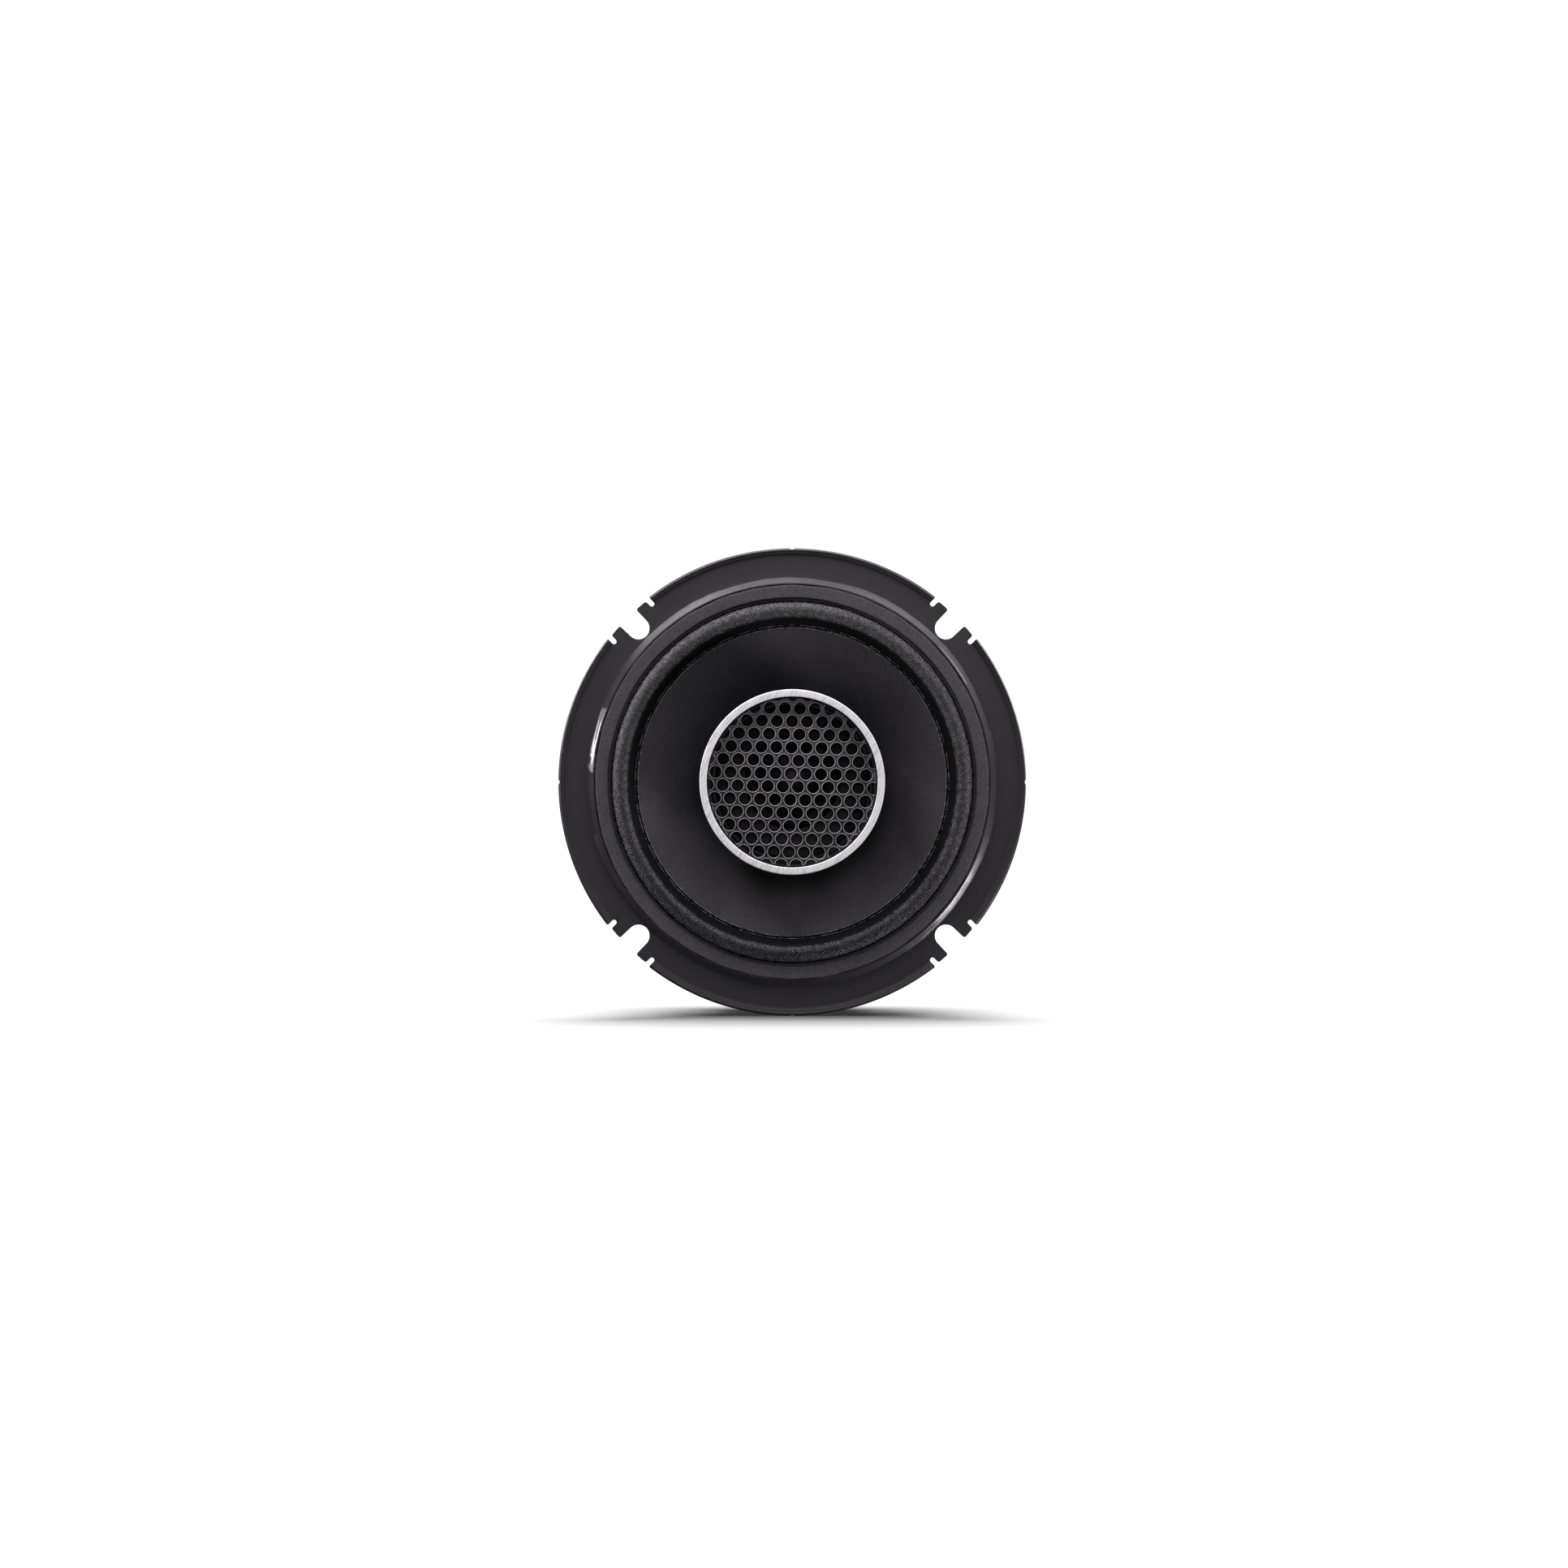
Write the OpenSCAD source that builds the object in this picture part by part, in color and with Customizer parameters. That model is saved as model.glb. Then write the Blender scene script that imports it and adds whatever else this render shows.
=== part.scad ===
// Coaxial car speaker: a stamped basket with a woofer cone, and a small
// dome tweeter on a post through the middle of the cone.
// The part's frame: +Z is up, the speaker looks along -Y, and the origin is
// on its axis in the plane of the flange's rear face, which meets the panel.

/* [Flange] */
// Outer diameter of the mounting flange
flange_d = 133; // [130:0.5:136]
// Thickness of the pressed steel sheet
sheet_t = 1.2; // [1:0.1:1.5]
// Pitch circle diameter of the four open screw slots
slot_pcd = 123.6; // [123:0.1:124.5]
// Width of an open screw slot
slot_w = 6.3; // [5.5:0.1:6.6]
// Sideways distance from a screw slot's middle to the small relief notch
notch_off = 7.58; // [7.2:0.01:8]
// Width of the relief notches that end the raised rim
notch_w = 1.41; // [1.2:0.01:1.6]
// Diameter of the round body that drops into the panel's cut-out
spigot_d = 109; // [108.6:0.1:109.4]

/* [Cone and surround] */
// Outer diameter of the cone
cone_d = 88.8; // [88:0.1:89.4]
// Depth of the cone from its edge to its neck
cone_depth = 21; // [19:0.5:22]
// Thickness of the cone's paper
cone_t = 0.7; // [0.5:0.1:0.9]
// Height of the half roll of the surround
roll_h = 3.7; // [3:0.1:4.2]
// Thickness of the coated cloth of the surround
surround_t = 0.5; // [0.4:0.05:0.6]

/* [Motor] */
// Outer diameter of the ferrite ring magnet
magnet_d = 80; // [74:1:84]
// Thickness of the ferrite ring magnet
magnet_h = 13; // [11:0.5:15]
// Thickness of the top plate and of the back plate
plate_h = 4.5; // [4:0.1:5]
// Diameter of the pole piece
pole_d = 24.4; // [24:0.1:24.6]
// Half of the cone's travel, which the clearances allow for
travel = 4; // [3:0.5:4]

/* [Tweeter] */
// Outer diameter of the bright trim ring
ring_d = 52.4; // [51.5:0.1:53]
// Distance of the trim ring's front in front of the flange's rear face
ring_z = 10.6; // [10:0.1:11.5]
// Diameter of the tweeter's dome
dome_d = 19.8; // [19.6:0.1:20]
// Distance between the holes of the grille
mesh_pitch = 4.26; // [4.25:0.01:4.5]
// Diameter of the holes of the grille
mesh_hole = 3.45; // [3:0.05:3.5]

/* [Hidden] */
$fn = 120;

R = flange_d / 2;
t = sheet_t;
e = 0.01;
rs = spigot_d / 2;
rc = cone_d / 2;
slot_r = slot_pcd / 2;
// axial stations, positive towards the front
z_led = -22;                     // ledge that the spider is glued to
z_floor = z_led - 4.8 - travel;  // front of the basket's floor, clear of the moving spider
z_tp = z_floor - t;              // front of the top plate
z_mag = z_tp - plate_h;          // front of the magnet
z_back = z_mag - magnet_h;       // front of the back plate
z_end = z_back - plate_h;        // rear of the back plate
z_board = z_led - t;             // front of the terminal board
board_t = 1.6;
coil_in = pole_d / 2 + 0.5;
coil_out = coil_in + 0.4;
wind_out = coil_out + 0.5;
gap_r = wind_out + 0.5;
z_seat = t;                      // front of the surround's seat

// turns the axial direction z into the speaker's front, -Y
module ax() rotate([90, 0, 0]) children();
module rev(p) rotate_extrude() polygon(p);
module ring(ri, ro, z0, z1) rev([[ri, z0], [ro, z0], [ro, z1], [ri, z1]]);

// ---- basket ----

// section of the pressed sheet, from the rim to the floor
basket_profile = [
    [R - 0.2, 0], [R, 0.2], [R, 1.0], [R - 0.06, 1.4], [R - 0.3, 1.88],
    [R - 0.65, 2.08], [R - 0.9, 2.0], [R - 1.04, 1.66], [R - 1.5, 1.6],
    [R - 1.66, t],
    [58.3, t], [58.0, t + 0.12], [56.75, 2.62], [56.5, 2.8], [56.25, 2.86],
    [56.0, 2.7], [56.0, t],
    [rs - 0.9, t], [rs - 1.15, t - 0.2], [rs - 1.2, t - 0.5],
    [rs - 1.2, -8.4], [41.7, z_led], [33.2, z_led], [33.2, z_floor],
    [15, z_floor], [15, z_tp], [34.4, z_tp], [34.4, z_board],
    [42.6, z_board], [rs, -8], [rs, 0],
    [56.7, 0], [56.9, 0.95], [57.4, 0.95], [57.6, 0]];

// flat ear beside a screw slot, with rounded corners
module ear() {
    ro = R - 0.4;
    c = 0.65;
    a = slot_w / 2;
    b = notch_off - notch_w / 2;
    polygon([[a, 60], [b, 60], [b, sqrt(pow(ro - c, 2) - pow(b - c, 2))],
        [b - c, sqrt(pow(ro - c, 2) - pow(b - c, 2))],
        [a + c, sqrt(pow(ro - c, 2) - pow(a + c, 2))],
        [a, sqrt(pow(ro - c, 2) - pow(a + c, 2))]]);
    for (x = [a + c, b - c]) translate([x, sqrt(pow(ro - c, 2) - x * x)]) circle(c);
    intersection() {
        circle(ro);
        translate([a + c, 60]) square([b - a - 2 * c, 10]);
    }
}

module slot_cut() {
    a = slot_w / 2;
    translate([0, slot_r]) circle(a);
    polygon([[-a, slot_r], [a, slot_r], [a, R - 2.2], [a + 0.25, R + 1], [-a - 0.25, R + 1], [-a, R - 2.2]]);
}

module notch_cut(s) {
    translate([s * notch_off, 64.0]) circle(notch_w / 2);
    translate([s * notch_off - notch_w / 2, 64.0]) square([notch_w, 4]);
}

// ring sector with rounded corners, as an outline of short straight steps
function arc(cx, cy, r, a0, a1, n) = [for (k = [0:n]) let(a = a0 + (a1 - a0) * k / n) [cx + r * cos(a), cy + r * sin(a)]];
module sector(r1, r2, half, c) {
    b1 = half - asin(c / (r1 + c));
    b2 = half - asin(c / (r2 - c));
    up = concat(
        arc(0, 0, r2, 0, b2 - 0.4, 16),
        arc((r2 - c) * cos(b2), (r2 - c) * sin(b2), c, b2 + 6, half + 84, 6),
        arc((r1 + c) * cos(b1), (r1 + c) * sin(b1), c, half + 96, 174 + b1, 6),
        arc(0, 0, r1, b1 - 0.4, 0, 16));
    n = len(up);
    polygon(concat([for (k = [0:n - 1]) up[k]], [for (k = [n - 2:-1:1]) [up[k][0], -up[k][1]]]));
}

module rivet_spots() for (k = [0:5]) rotate(30 + 60 * k) translate([25, 0]) children();
module board_spots() for (s = [-1, 1]) translate([38.6, s * 9]) children();

module basket() color([0.17, 0.165, 0.175]) ax() difference() {
    union() {
        difference() {
            rev(basket_profile);
            for (k = [0:3]) rotate(45 + 90 * k) translate([-notch_off, 60.5, -1]) cube([2 * notch_off, 10, 5]);
        }
        // the flat ears and the sheet behind the slot
        for (k = [0:3]) rotate(45 + 90 * k) linear_extrude(t) {
            ear();
            mirror([1, 0]) ear();
            intersection() {
                circle(R - 2);
                translate([-notch_off - 0.2, 59.9]) square([2 * notch_off + 0.4, 4]);
            }
        }
    }
    for (k = [0:3]) rotate(45 + 90 * k) translate([0, 0, -1]) linear_extrude(5) {
        slot_cut();
        notch_cut(1);
        notch_cut(-1);
    }
    // orientation nicks in the rim
    for (k = [0:3]) rotate(90 * k) translate([R + 0.55, 0, -1]) cylinder(r = 0.9, h = 5);
    // four windows between the legs
    for (k = [0:3]) rotate(90 * k) translate([0, 0, -27]) linear_extrude(22) sector(43.5, 51.8, 32, 3);
    rivet_spots() translate([0, 0, -34]) cylinder(r = 1.8, h = 6);
    board_spots() translate([0, 0, -26]) cylinder(r = 1.2, h = 6);
}

module gasket() color([0.25, 0.25, 0.26]) ax() rev([
    [52.35, z_seat + surround_t + 0.1], [52.5, z_seat + surround_t], [55.75, z_seat + surround_t],
    [55.8, z_seat + surround_t + 0.1], [55.8, 3.0], [55.6, 3.15], [52.6, 3.15], [52.35, 3.0]]);

// ---- cone and its suspension ----

roll_c = (rc + 0.9 + 51.05) / 2;
roll_w = (51.05 - rc - 0.9) / 2;
module surround() color([0.1, 0.1, 0.1]) ax() rev(concat(
    [[43.3, z_seat], [rc + 0.3, z_seat]],
    [for (a = [172:-8:8]) [roll_c + (roll_w - 0.1) * cos(a), z_seat + (roll_h - surround_t) * sin(a)]],
    [[51.05, z_seat], [55.7, z_seat], [55.7, z_seat + surround_t], [51.7, z_seat + surround_t]],
    [for (a = [8:8:172]) [roll_c + (roll_w + 0.35) * cos(a), z_seat + surround_t + (roll_h - surround_t) * sin(a)]],
    [[44.2, z_seat + surround_t], [43.3, z_seat + surround_t]]));

function cone_z(r) = z_seat - 0.6 - cone_depth + cone_depth * pow(max(0, (r - 13.1) / (42.6 - 13.1)), 0.86);
cone_r = [for (k = [0:12]) coil_out + (42.6 - coil_out) * k / 12];
module cone() color([0.19, 0.19, 0.2]) ax() rev(concat(
    [for (r = cone_r) [r, cone_z(r)]],
    [[43.3, z_seat], [rc, z_seat], [rc, z_seat - 0.6]],
    [for (k = [12:-1:0]) [cone_r[k], cone_z(cone_r[k]) - cone_t - 0.15]]));

module cone_edge_bead() color([0.07, 0.07, 0.07]) ax() rev([
    [43.35, z_seat + surround_t], [44.15, z_seat + surround_t], [44.1, 1.95], [43.9, 2.1], [43.6, 2.1], [43.4, 1.95]]);

sp = [for (k = [0:48]) 15 + 17.5 * k / 48];
function spz(r) = z_led + 0.2 + 1.05 * sin(360 * 5 * (r - 15) / 17.5);
module spider() color([0.72, 0.6, 0.3]) ax() rev(concat(
    [[coil_out, z_led - 0.6], [14.1, z_led - 0.6], [14.4, z_led]],
    [for (r = sp) [r, spz(r) - 0.2]],
    [[33.4, z_led], [37, z_led], [37, z_led + 0.4], [32.9, z_led + 0.4]],
    [for (k = [48:-1:0]) [sp[k], spz(sp[k]) + 0.22]],
    [[14.5, z_led + 0.4], [14.0, z_led + 0.6], [coil_out, z_led + 0.6]]));

module voice_coil_former() color([0.75, 0.55, 0.25]) ax() ring(coil_in, coil_out, z_tp - 7.5, -18.6);
module voice_coil_winding() color([0.7, 0.3, 0.12]) ax() ring(coil_out, wind_out, z_tp - plate_h / 2 - 4.5, z_tp - plate_h / 2 + 4.5);

// ---- motor ----

module top_plate() color([0.62, 0.62, 0.6]) ax() difference() {
    rev([[gap_r, z_mag], [magnet_d / 2 - 3.4, z_mag], [magnet_d / 2 - 3, z_mag + 0.4],
        [magnet_d / 2 - 3, z_tp - 0.4], [magnet_d / 2 - 3.4, z_tp], [gap_r, z_tp]]);
    rivet_spots() translate([0, 0, z_tp - 2.5]) cylinder(r = 1.8, h = 4);
}
module magnet() color([0.13, 0.13, 0.14]) ax() rev([
    [18.5, z_back], [magnet_d / 2 - 1, z_back], [magnet_d / 2, z_back + 1],
    [magnet_d / 2, z_mag - 1], [magnet_d / 2 - 1, z_mag], [18.5, z_mag]]);
module yoke() color([0.62, 0.62, 0.6]) ax() rev([
    [4.1, z_end], [magnet_d / 2 - 4.2, z_end], [magnet_d / 2 - 3, z_end + 1.2],
    [magnet_d / 2 - 3, z_back - 0.3], [magnet_d / 2 - 3.3, z_back],
    [pole_d / 2 - 0.6, z_back], [pole_d / 2 - 0.6, z_mag - 1], [pole_d / 2, z_mag],
    [pole_d / 2, z_tp + 0.2], [pole_d / 2 - 0.5, z_tp + 0.5], [4.1, z_tp + 0.5]]);
module basket_rivets() color([0.6, 0.6, 0.6]) ax() rivet_spots() {
    translate([0, 0, z_tp - 2.5]) cylinder(r = 1.8, h = 2.5 + t + e);
    translate([0, 0, z_floor]) rotate_extrude() polygon([[0, 0], [2.8, 0], [2.8, 0.3], [2.2, 0.8], [1.2, 1.05], [0, 1.1]]);
}
module dust_ring() color([0.12, 0.12, 0.12]) ax() ring(8.05, 11.6, z_tp + 0.5, z_tp + 3.2);

// ---- wiring ----

module terminal_board() color([0.35, 0.2, 0.1]) ax() translate([0, 0, z_board - board_t]) difference() {
    union() {
        translate([35.4, -13, 0]) cube([14.6, 26, board_t]);
        translate([50 - e, -10.5, 0]) cube([2 + e, 21, board_t]);
    }
    board_spots() translate([0, 0, -1]) cylinder(r = 1.2, h = 4);
    for (s = [-1, 1]) translate([46.6, s * 6, -1]) cylinder(r = 0.9, h = 4);
}
// a push-on tab: a foot on the board and a blade that points to the rear
module tab(w, s) ax() translate([0, s * 6, z_board - board_t]) {
    difference() {
        translate([44.4, -w / 2, -0.8]) cube([6.6, w, 0.8]);
        translate([46.6, 0, -1]) cylinder(r = 0.9, h = 2);
    }
    difference() {
        translate([51, 0, -0.8 + e]) rotate([0, -90, 0]) linear_extrude(0.8)
            polygon([[0, -w / 2], [0, w / 2], [-7.2, w / 2], [-8.4, w / 2 - 1], [-8.4, 1 - w / 2], [-7.2, -w / 2]]);
        translate([49, 0, -5.6]) rotate([0, 90, 0]) cylinder(r = 0.8, h = 4);
    }
    // eyelet that clamps the tab and the flexible lead to the board
    translate([46.6, 0, 0]) difference() {
        union() {
            translate([0, 0, -0.8]) cylinder(r = 0.9, h = board_t + 0.8);
            translate([0, 0, -1.2]) cylinder(r = 1.5, h = 0.4);
            translate([0, 0, board_t]) cylinder(r = 1.5, h = 0.4);
        }
        translate([0, 0, -2]) cylinder(r = 0.5, h = 5);
    }
}
module terminal_positive() color([0.75, 0.75, 0.72]) tab(6.35, 1);
module terminal_negative() color([0.75, 0.75, 0.72]) tab(4.75, -1);
module terminal_rivets() color([0.7, 0.7, 0.7]) ax() board_spots() {
    translate([0, 0, z_board - board_t]) cylinder(r = 1.2, h = board_t + t);
    translate([0, 0, z_led]) cylinder(r = 1.9, h = 0.7);
    translate([0, 0, z_board - board_t - 0.8]) cylinder(r = 2.1, h = 0.8);
}
module capacitor() color([0.12, 0.16, 0.3]) ax() translate([41.4, 0, -30.1]) {
    rotate([90, 0, 0]) rotate_extrude() polygon([[0, -7], [3.9, -7], [4.4, -6.5], [4.4, -5.4], [4.2, -5.2],
        [4.2, -4.9], [4.4, -4.7], [4.4, 6.5], [3.9, 7], [0, 7]]);
    for (s = [-1, 1]) {
        translate([0, s * 6.9, 0]) rotate([-90 * s, 0, 0]) cylinder(r = 0.4, h = 3);
        translate([0, s * 9.9, 0]) sphere(r = 0.4, $fn = 24);
        translate([0, s * 9.9, 0]) cylinder(r = 0.4, h = 5.3);
    }
}

// points along a smooth curve through the route's points
function cr(p, i, u) = let(a = p[max(0, i - 1)], b = p[i], c = p[i + 1], d = p[min(len(p) - 1, i + 2)])
    0.5 * (2 * b + (c - a) * u + (2 * a - 5 * b + 4 * c - d) * u * u + (3 * b - a - 3 * c + d) * u * u * u);
function smooth(p, n) = concat([for (i = [0:len(p) - 2]) for (k = [0:n - 1]) cr(p, i, k / n)], [p[len(p) - 1]]);
// a round wire along a route that keeps near a plane of constant y
module wire(route, r, n = 4, m = 8) {
    q = smooth(route, n);
    c = len(q);
    pts = [for (i = [0:c - 1]) let(
        d = q[min(c - 1, i + 1)] - q[max(0, i - 1)], f = d / norm(d),
        b0 = cross(f, [0, 1, 0]), b = b0 / norm(b0), g = cross(f, b))
        for (j = [0:m - 1]) q[i] + r * (cos(360 * j / m) * b + sin(360 * j / m) * g)];
    polyhedron(pts, concat(
        [[for (j = [0:m - 1]) j]],
        [for (i = [0:c - 2]) for (j = [0:m - 1]) let(k = (j + 1) % m) [i * m + j, (i + 1) * m + j, (i + 1) * m + k]],
        [for (i = [0:c - 2]) for (j = [0:m - 1]) let(k = (j + 1) % m) [i * m + j, (i + 1) * m + k, i * m + k]],
        [[for (j = [m - 1:-1:0]) (c - 1) * m + j]]), convexity = 6);
}
tinsel_route = [[27.6, 5.4, -11.3], [29.5, 5.5, -13.4], [33, 5.6, -15.6], [37, 5.7, -16.9],
    [41, 5.8, -17.2], [44.2, 5.9, -18.2], [46.2, 6, -20.2], [46.6, 6, -22.7]];
module tinsel_leads() color([0.7, 0.45, 0.25]) ax() for (s = [-1, 1])
    wire([for (p = tinsel_route) [p[0], s * p[1], p[2]]], 0.45);
module tinsel_eyelets() color([0.6, 0.6, 0.55]) ax() for (s = [-1, 1])
    translate([27.6, s * 5.4, cone_z(28.12) - 2.25]) cylinder(r = 0.85, h = 0.8);

lead_route = [[0.9, 1, -4.6], [0.9, 1, -20], [0.9, 1, -45], [0.9, 1, -55], [1.6, 1, -58.6], [4, 1.1, -59.6],
    [7.4, 1.2, -58.4], [9.6, 1.3, -55.6], [13, 1.4, -54.9], [24, 1.4, -54.8], [35, 1.4, -54.8],
    [38.6, 1.4, -53.6], [40.9, 1.5, -50], [41, 1.6, -44], [41.2, 2, -38], [44.5, 3.6, -35.2],
    [47.3, 4.6, -31.6], [47.2, 5.6, -28.6], [46.9, 6, -26.3]];
module tweeter_leads() color([0.5, 0.08, 0.06]) ax() for (s = [-1, 1])
    wire([for (p = lead_route) [p[0], s * p[1], p[2]]], 0.55, 3);

// ---- tweeter ----

module tweeter_post() color([0.55, 0.55, 0.55]) ax() rev([
    [2.2, -57.6], [3.7, -57.6], [4, -57.3], [4, z_tp + 0.5], [8, z_tp + 0.5], [8, -13],
    [9, -11.6], [11, -11.2], [11, -9.2], [2.2, -9.2]]);
module post_washer() color([0.65, 0.65, 0.63]) ax() ring(4.1, 7.2, z_end - 0.8, z_end);
module post_nut() color([0.65, 0.65, 0.63]) ax() difference() {
    translate([0, 0, z_end - 0.8 - 3.1]) cylinder(r = 5.6, h = 3.1, $fn = 6);
    translate([0, 0, z_end - 5]) cylinder(r = 4.02, h = 6);
}
module tweeter_housing() color([0.09, 0.09, 0.09]) ax() rev([
    [2.4, -9.2], [13.2, -9.2], [14, -8.9], [24.8, -1.9], [25.8, -0.6], [26.3, 1.2], [26.3, 7.9], [26.1, 8.1],
    [24.6, 8.1], [24.6, 1], [12.7, 1], [12.7, -4.1], [2.4, -4.1]]);
rt = ring_d / 2;
module tweeter_trim_ring() color([0.85, 0.85, 0.86]) ax() rev([
    [24.6, 8.1], [rt - 0.1, 8.1], [rt, 8.2], [rt, ring_z - 0.3], [rt - 0.1, ring_z - 0.08], [rt - 0.25, ring_z],
    [24.35, ring_z], [24.2, ring_z - 0.06], [24.14, ring_z - 0.2], [24.14, ring_z - 0.6], [24.5, ring_z - 0.85], [24.5, 8.2]]);

mesh_z = 9.5;
mesh_r = 23.7;
mesh_R = 190;
function lattice(i, j) = [mesh_pitch * (i + (abs(j) % 2) / 2) + 1.66, mesh_pitch * 0.866 * j - 1.35];
module tweeter_grille() color([0.2, 0.2, 0.2]) ax() difference() {
    intersection() {
        translate([0, 0, mesh_z - mesh_R]) rotate([90, 0, 0]) sphere(r = mesh_R, $fn = 360);
        translate([0, 0, 6]) cylinder(r = mesh_r, h = 6);
    }
    translate([0, 0, mesh_z - 0.6 - mesh_R]) rotate([90, 0, 0]) sphere(r = mesh_R, $fn = 360);
    rotate(-1.4) for (j = [-7:7]) for (i = [-7:7]) if (norm(lattice(i, j)) < mesh_r + mesh_hole / 2 - 0.45)
        translate([lattice(i, j)[0], lattice(i, j)[1], 5]) cylinder(r = mesh_hole / 2, h = 8, $fn = 24);
}
module tweeter_faceplate() color([0.06, 0.06, 0.06]) ax() rev([
    [14.6, 1.02], [24.55, 1.02], [24.55, 7.35], [23.1, 7.35], [22.9, 7.2], [22.7, 6.9], [21.9, 6.9], [21.7, 6.7], [21.4, 5.9],
    [19, 5.2], [15.5, 4.6], [13.4, 4.4],
    [13.2, 4.1], [13.2, 3.45], [14.6, 3.45]]);
rd = dome_d / 2;
dome_z = [for (k = [0:10]) let(a = asin(rd / 17.8) * (1 - k / 10)) [17.8 * sin(a), 3.75 + 17.8 * (cos(a) - cos(asin(rd / 17.8)))]];
module tweeter_dome() color([0.3, 0.28, 0.24]) ax() rev(concat(
    [[rd - 0.5, 3.75], [rd, 3.75]],
    [for (k = [0:10]) dome_z[k] + [0, 0.3]],
    [[0, dome_z[10][1] + 0.05]],
    [for (k = [10:-1:1]) [dome_z[k][0] * 0.985, dome_z[k][1] + 0.02]]));
module tweeter_suspension() color([0.15, 0.15, 0.15]) ax() rev([
    [rd, 3.75], [10.3, 3.7], [10.9, 4.25], [11.6, 4.45], [12.3, 4.25], [12.75, 3.55], [13.1, 3.1], [14.4, 3.1], [14.4, 3.4],
    [13.15, 3.4], [12.95, 3.85], [12.5, 4.5], [11.6, 4.75], [10.7, 4.5], [10.25, 4.05], [rd, 4.05]]);
module tweeter_voice_coil() color([0.7, 0.35, 0.15]) ax() ring(rd - 0.3, rd, -0.4, 3.75);
module tweeter_top_plate() color([0.62, 0.62, 0.6]) ax() ring(0.9, rd - 0.7, 1, 2.8);
module tweeter_magnet() color([0.7, 0.7, 0.72]) ax() ring(0.9, 8.2, -2, 1);
module tweeter_yoke() color([0.62, 0.62, 0.6]) ax() rev([
    [0.9, -4], [12.2, -4], [12.5, -3.7], [12.5, 1.02], [14.4, 1.02], [14.4, 3.1], [rd + 0.4, 3.1], [rd + 0.4, -2], [0.9, -2]]);

basket();
gasket();
surround();
cone();
cone_edge_bead();
spider();
voice_coil_former();
voice_coil_winding();
top_plate();
magnet();
yoke();
basket_rivets();
dust_ring();
terminal_board();
terminal_positive();
terminal_negative();
terminal_rivets();
capacitor();
tinsel_leads();
tinsel_eyelets();
tweeter_post();
post_washer();
post_nut();
tweeter_leads();
tweeter_housing();
tweeter_trim_ring();
tweeter_grille();
tweeter_faceplate();
tweeter_dome();
tweeter_suspension();
tweeter_voice_coil();
tweeter_top_plate();
tweeter_magnet();
tweeter_yoke();
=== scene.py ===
import bpy, bmesh, math
import numpy as np
from mathutils import Vector, Matrix

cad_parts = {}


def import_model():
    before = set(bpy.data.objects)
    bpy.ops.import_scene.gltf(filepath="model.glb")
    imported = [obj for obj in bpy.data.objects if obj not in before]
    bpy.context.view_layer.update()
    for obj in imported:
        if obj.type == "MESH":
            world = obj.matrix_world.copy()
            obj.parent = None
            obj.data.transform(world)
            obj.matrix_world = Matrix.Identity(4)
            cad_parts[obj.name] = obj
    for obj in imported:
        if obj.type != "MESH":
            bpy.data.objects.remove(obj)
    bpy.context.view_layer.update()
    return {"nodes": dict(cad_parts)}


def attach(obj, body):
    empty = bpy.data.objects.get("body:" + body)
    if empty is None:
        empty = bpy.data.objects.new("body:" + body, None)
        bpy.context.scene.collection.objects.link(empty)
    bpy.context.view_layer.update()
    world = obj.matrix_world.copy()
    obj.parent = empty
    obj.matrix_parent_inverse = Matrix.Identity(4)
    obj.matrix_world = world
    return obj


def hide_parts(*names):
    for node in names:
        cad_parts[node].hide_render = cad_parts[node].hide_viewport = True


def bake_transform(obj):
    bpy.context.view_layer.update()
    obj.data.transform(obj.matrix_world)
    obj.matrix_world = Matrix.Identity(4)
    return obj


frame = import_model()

scene = bpy.context.scene
scene.view_settings.view_transform = "Standard"
scene.view_settings.look = "None"

MM = 0.001
TAU = 2 * math.pi

# ------------------------------------------------------------------ camera

FRAME_W = 0.4462          # width of the view at the flange, in metres
DIST = 1.15
cam_d = bpy.data.cameras.new("camera")
cam_d.sensor_width = 36
cam_d.lens = 36 * DIST / FRAME_W
cam_d.clip_start = 0.05
cam_d.clip_end = 20
cam = bpy.data.objects.new("camera", cam_d)
scene.collection.objects.link(cam)
cam.location = (-0.00232, -DIST, -0.00057)
cam.rotation_euler = (math.radians(90), 0, 0)
scene.camera = cam

# ------------------------------------------------------------------ helpers


def rng(seed):
    return np.random.default_rng(seed)


def ring_noise(n, seed, waves, amp):
    """A smooth, closed wobble along a ring of n steps."""
    g = rng(seed)
    a = np.arange(n) / n * TAU
    out = np.zeros(n)
    for k in waves:
        out += g.normal() * np.cos(k * a + g.uniform(0, TAU)) / math.sqrt(len(waves))
    return out * amp


def obj(name, verts, faces, body=None, replaces=(), mat=None, sharp=35, slot=None):
    me = bpy.data.meshes.new(name)
    me.from_pydata([tuple(v) for v in np.asarray(verts, float)], [], [tuple(int(i) for i in f) for f in faces])
    me.validate()
    bm = bmesh.new()
    bm.from_mesh(me)
    bmesh.ops.recalc_face_normals(bm, faces=bm.faces)
    bm.to_mesh(me)
    bm.free()
    o = bpy.data.objects.new(name, me)
    scene.collection.objects.link(o)
    smooth(o, sharp)
    if mat:
        me.materials.append(mat)
    if body:
        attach(o, body)
    if replaces:
        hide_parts(*replaces)
    return o


def smooth(o, angle=35):
    me = o.data
    me.polygons.foreach_set("use_smooth", np.ones(len(me.polygons), bool))
    me.set_sharp_from_angle(angle=math.radians(angle))
    me.update()


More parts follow.
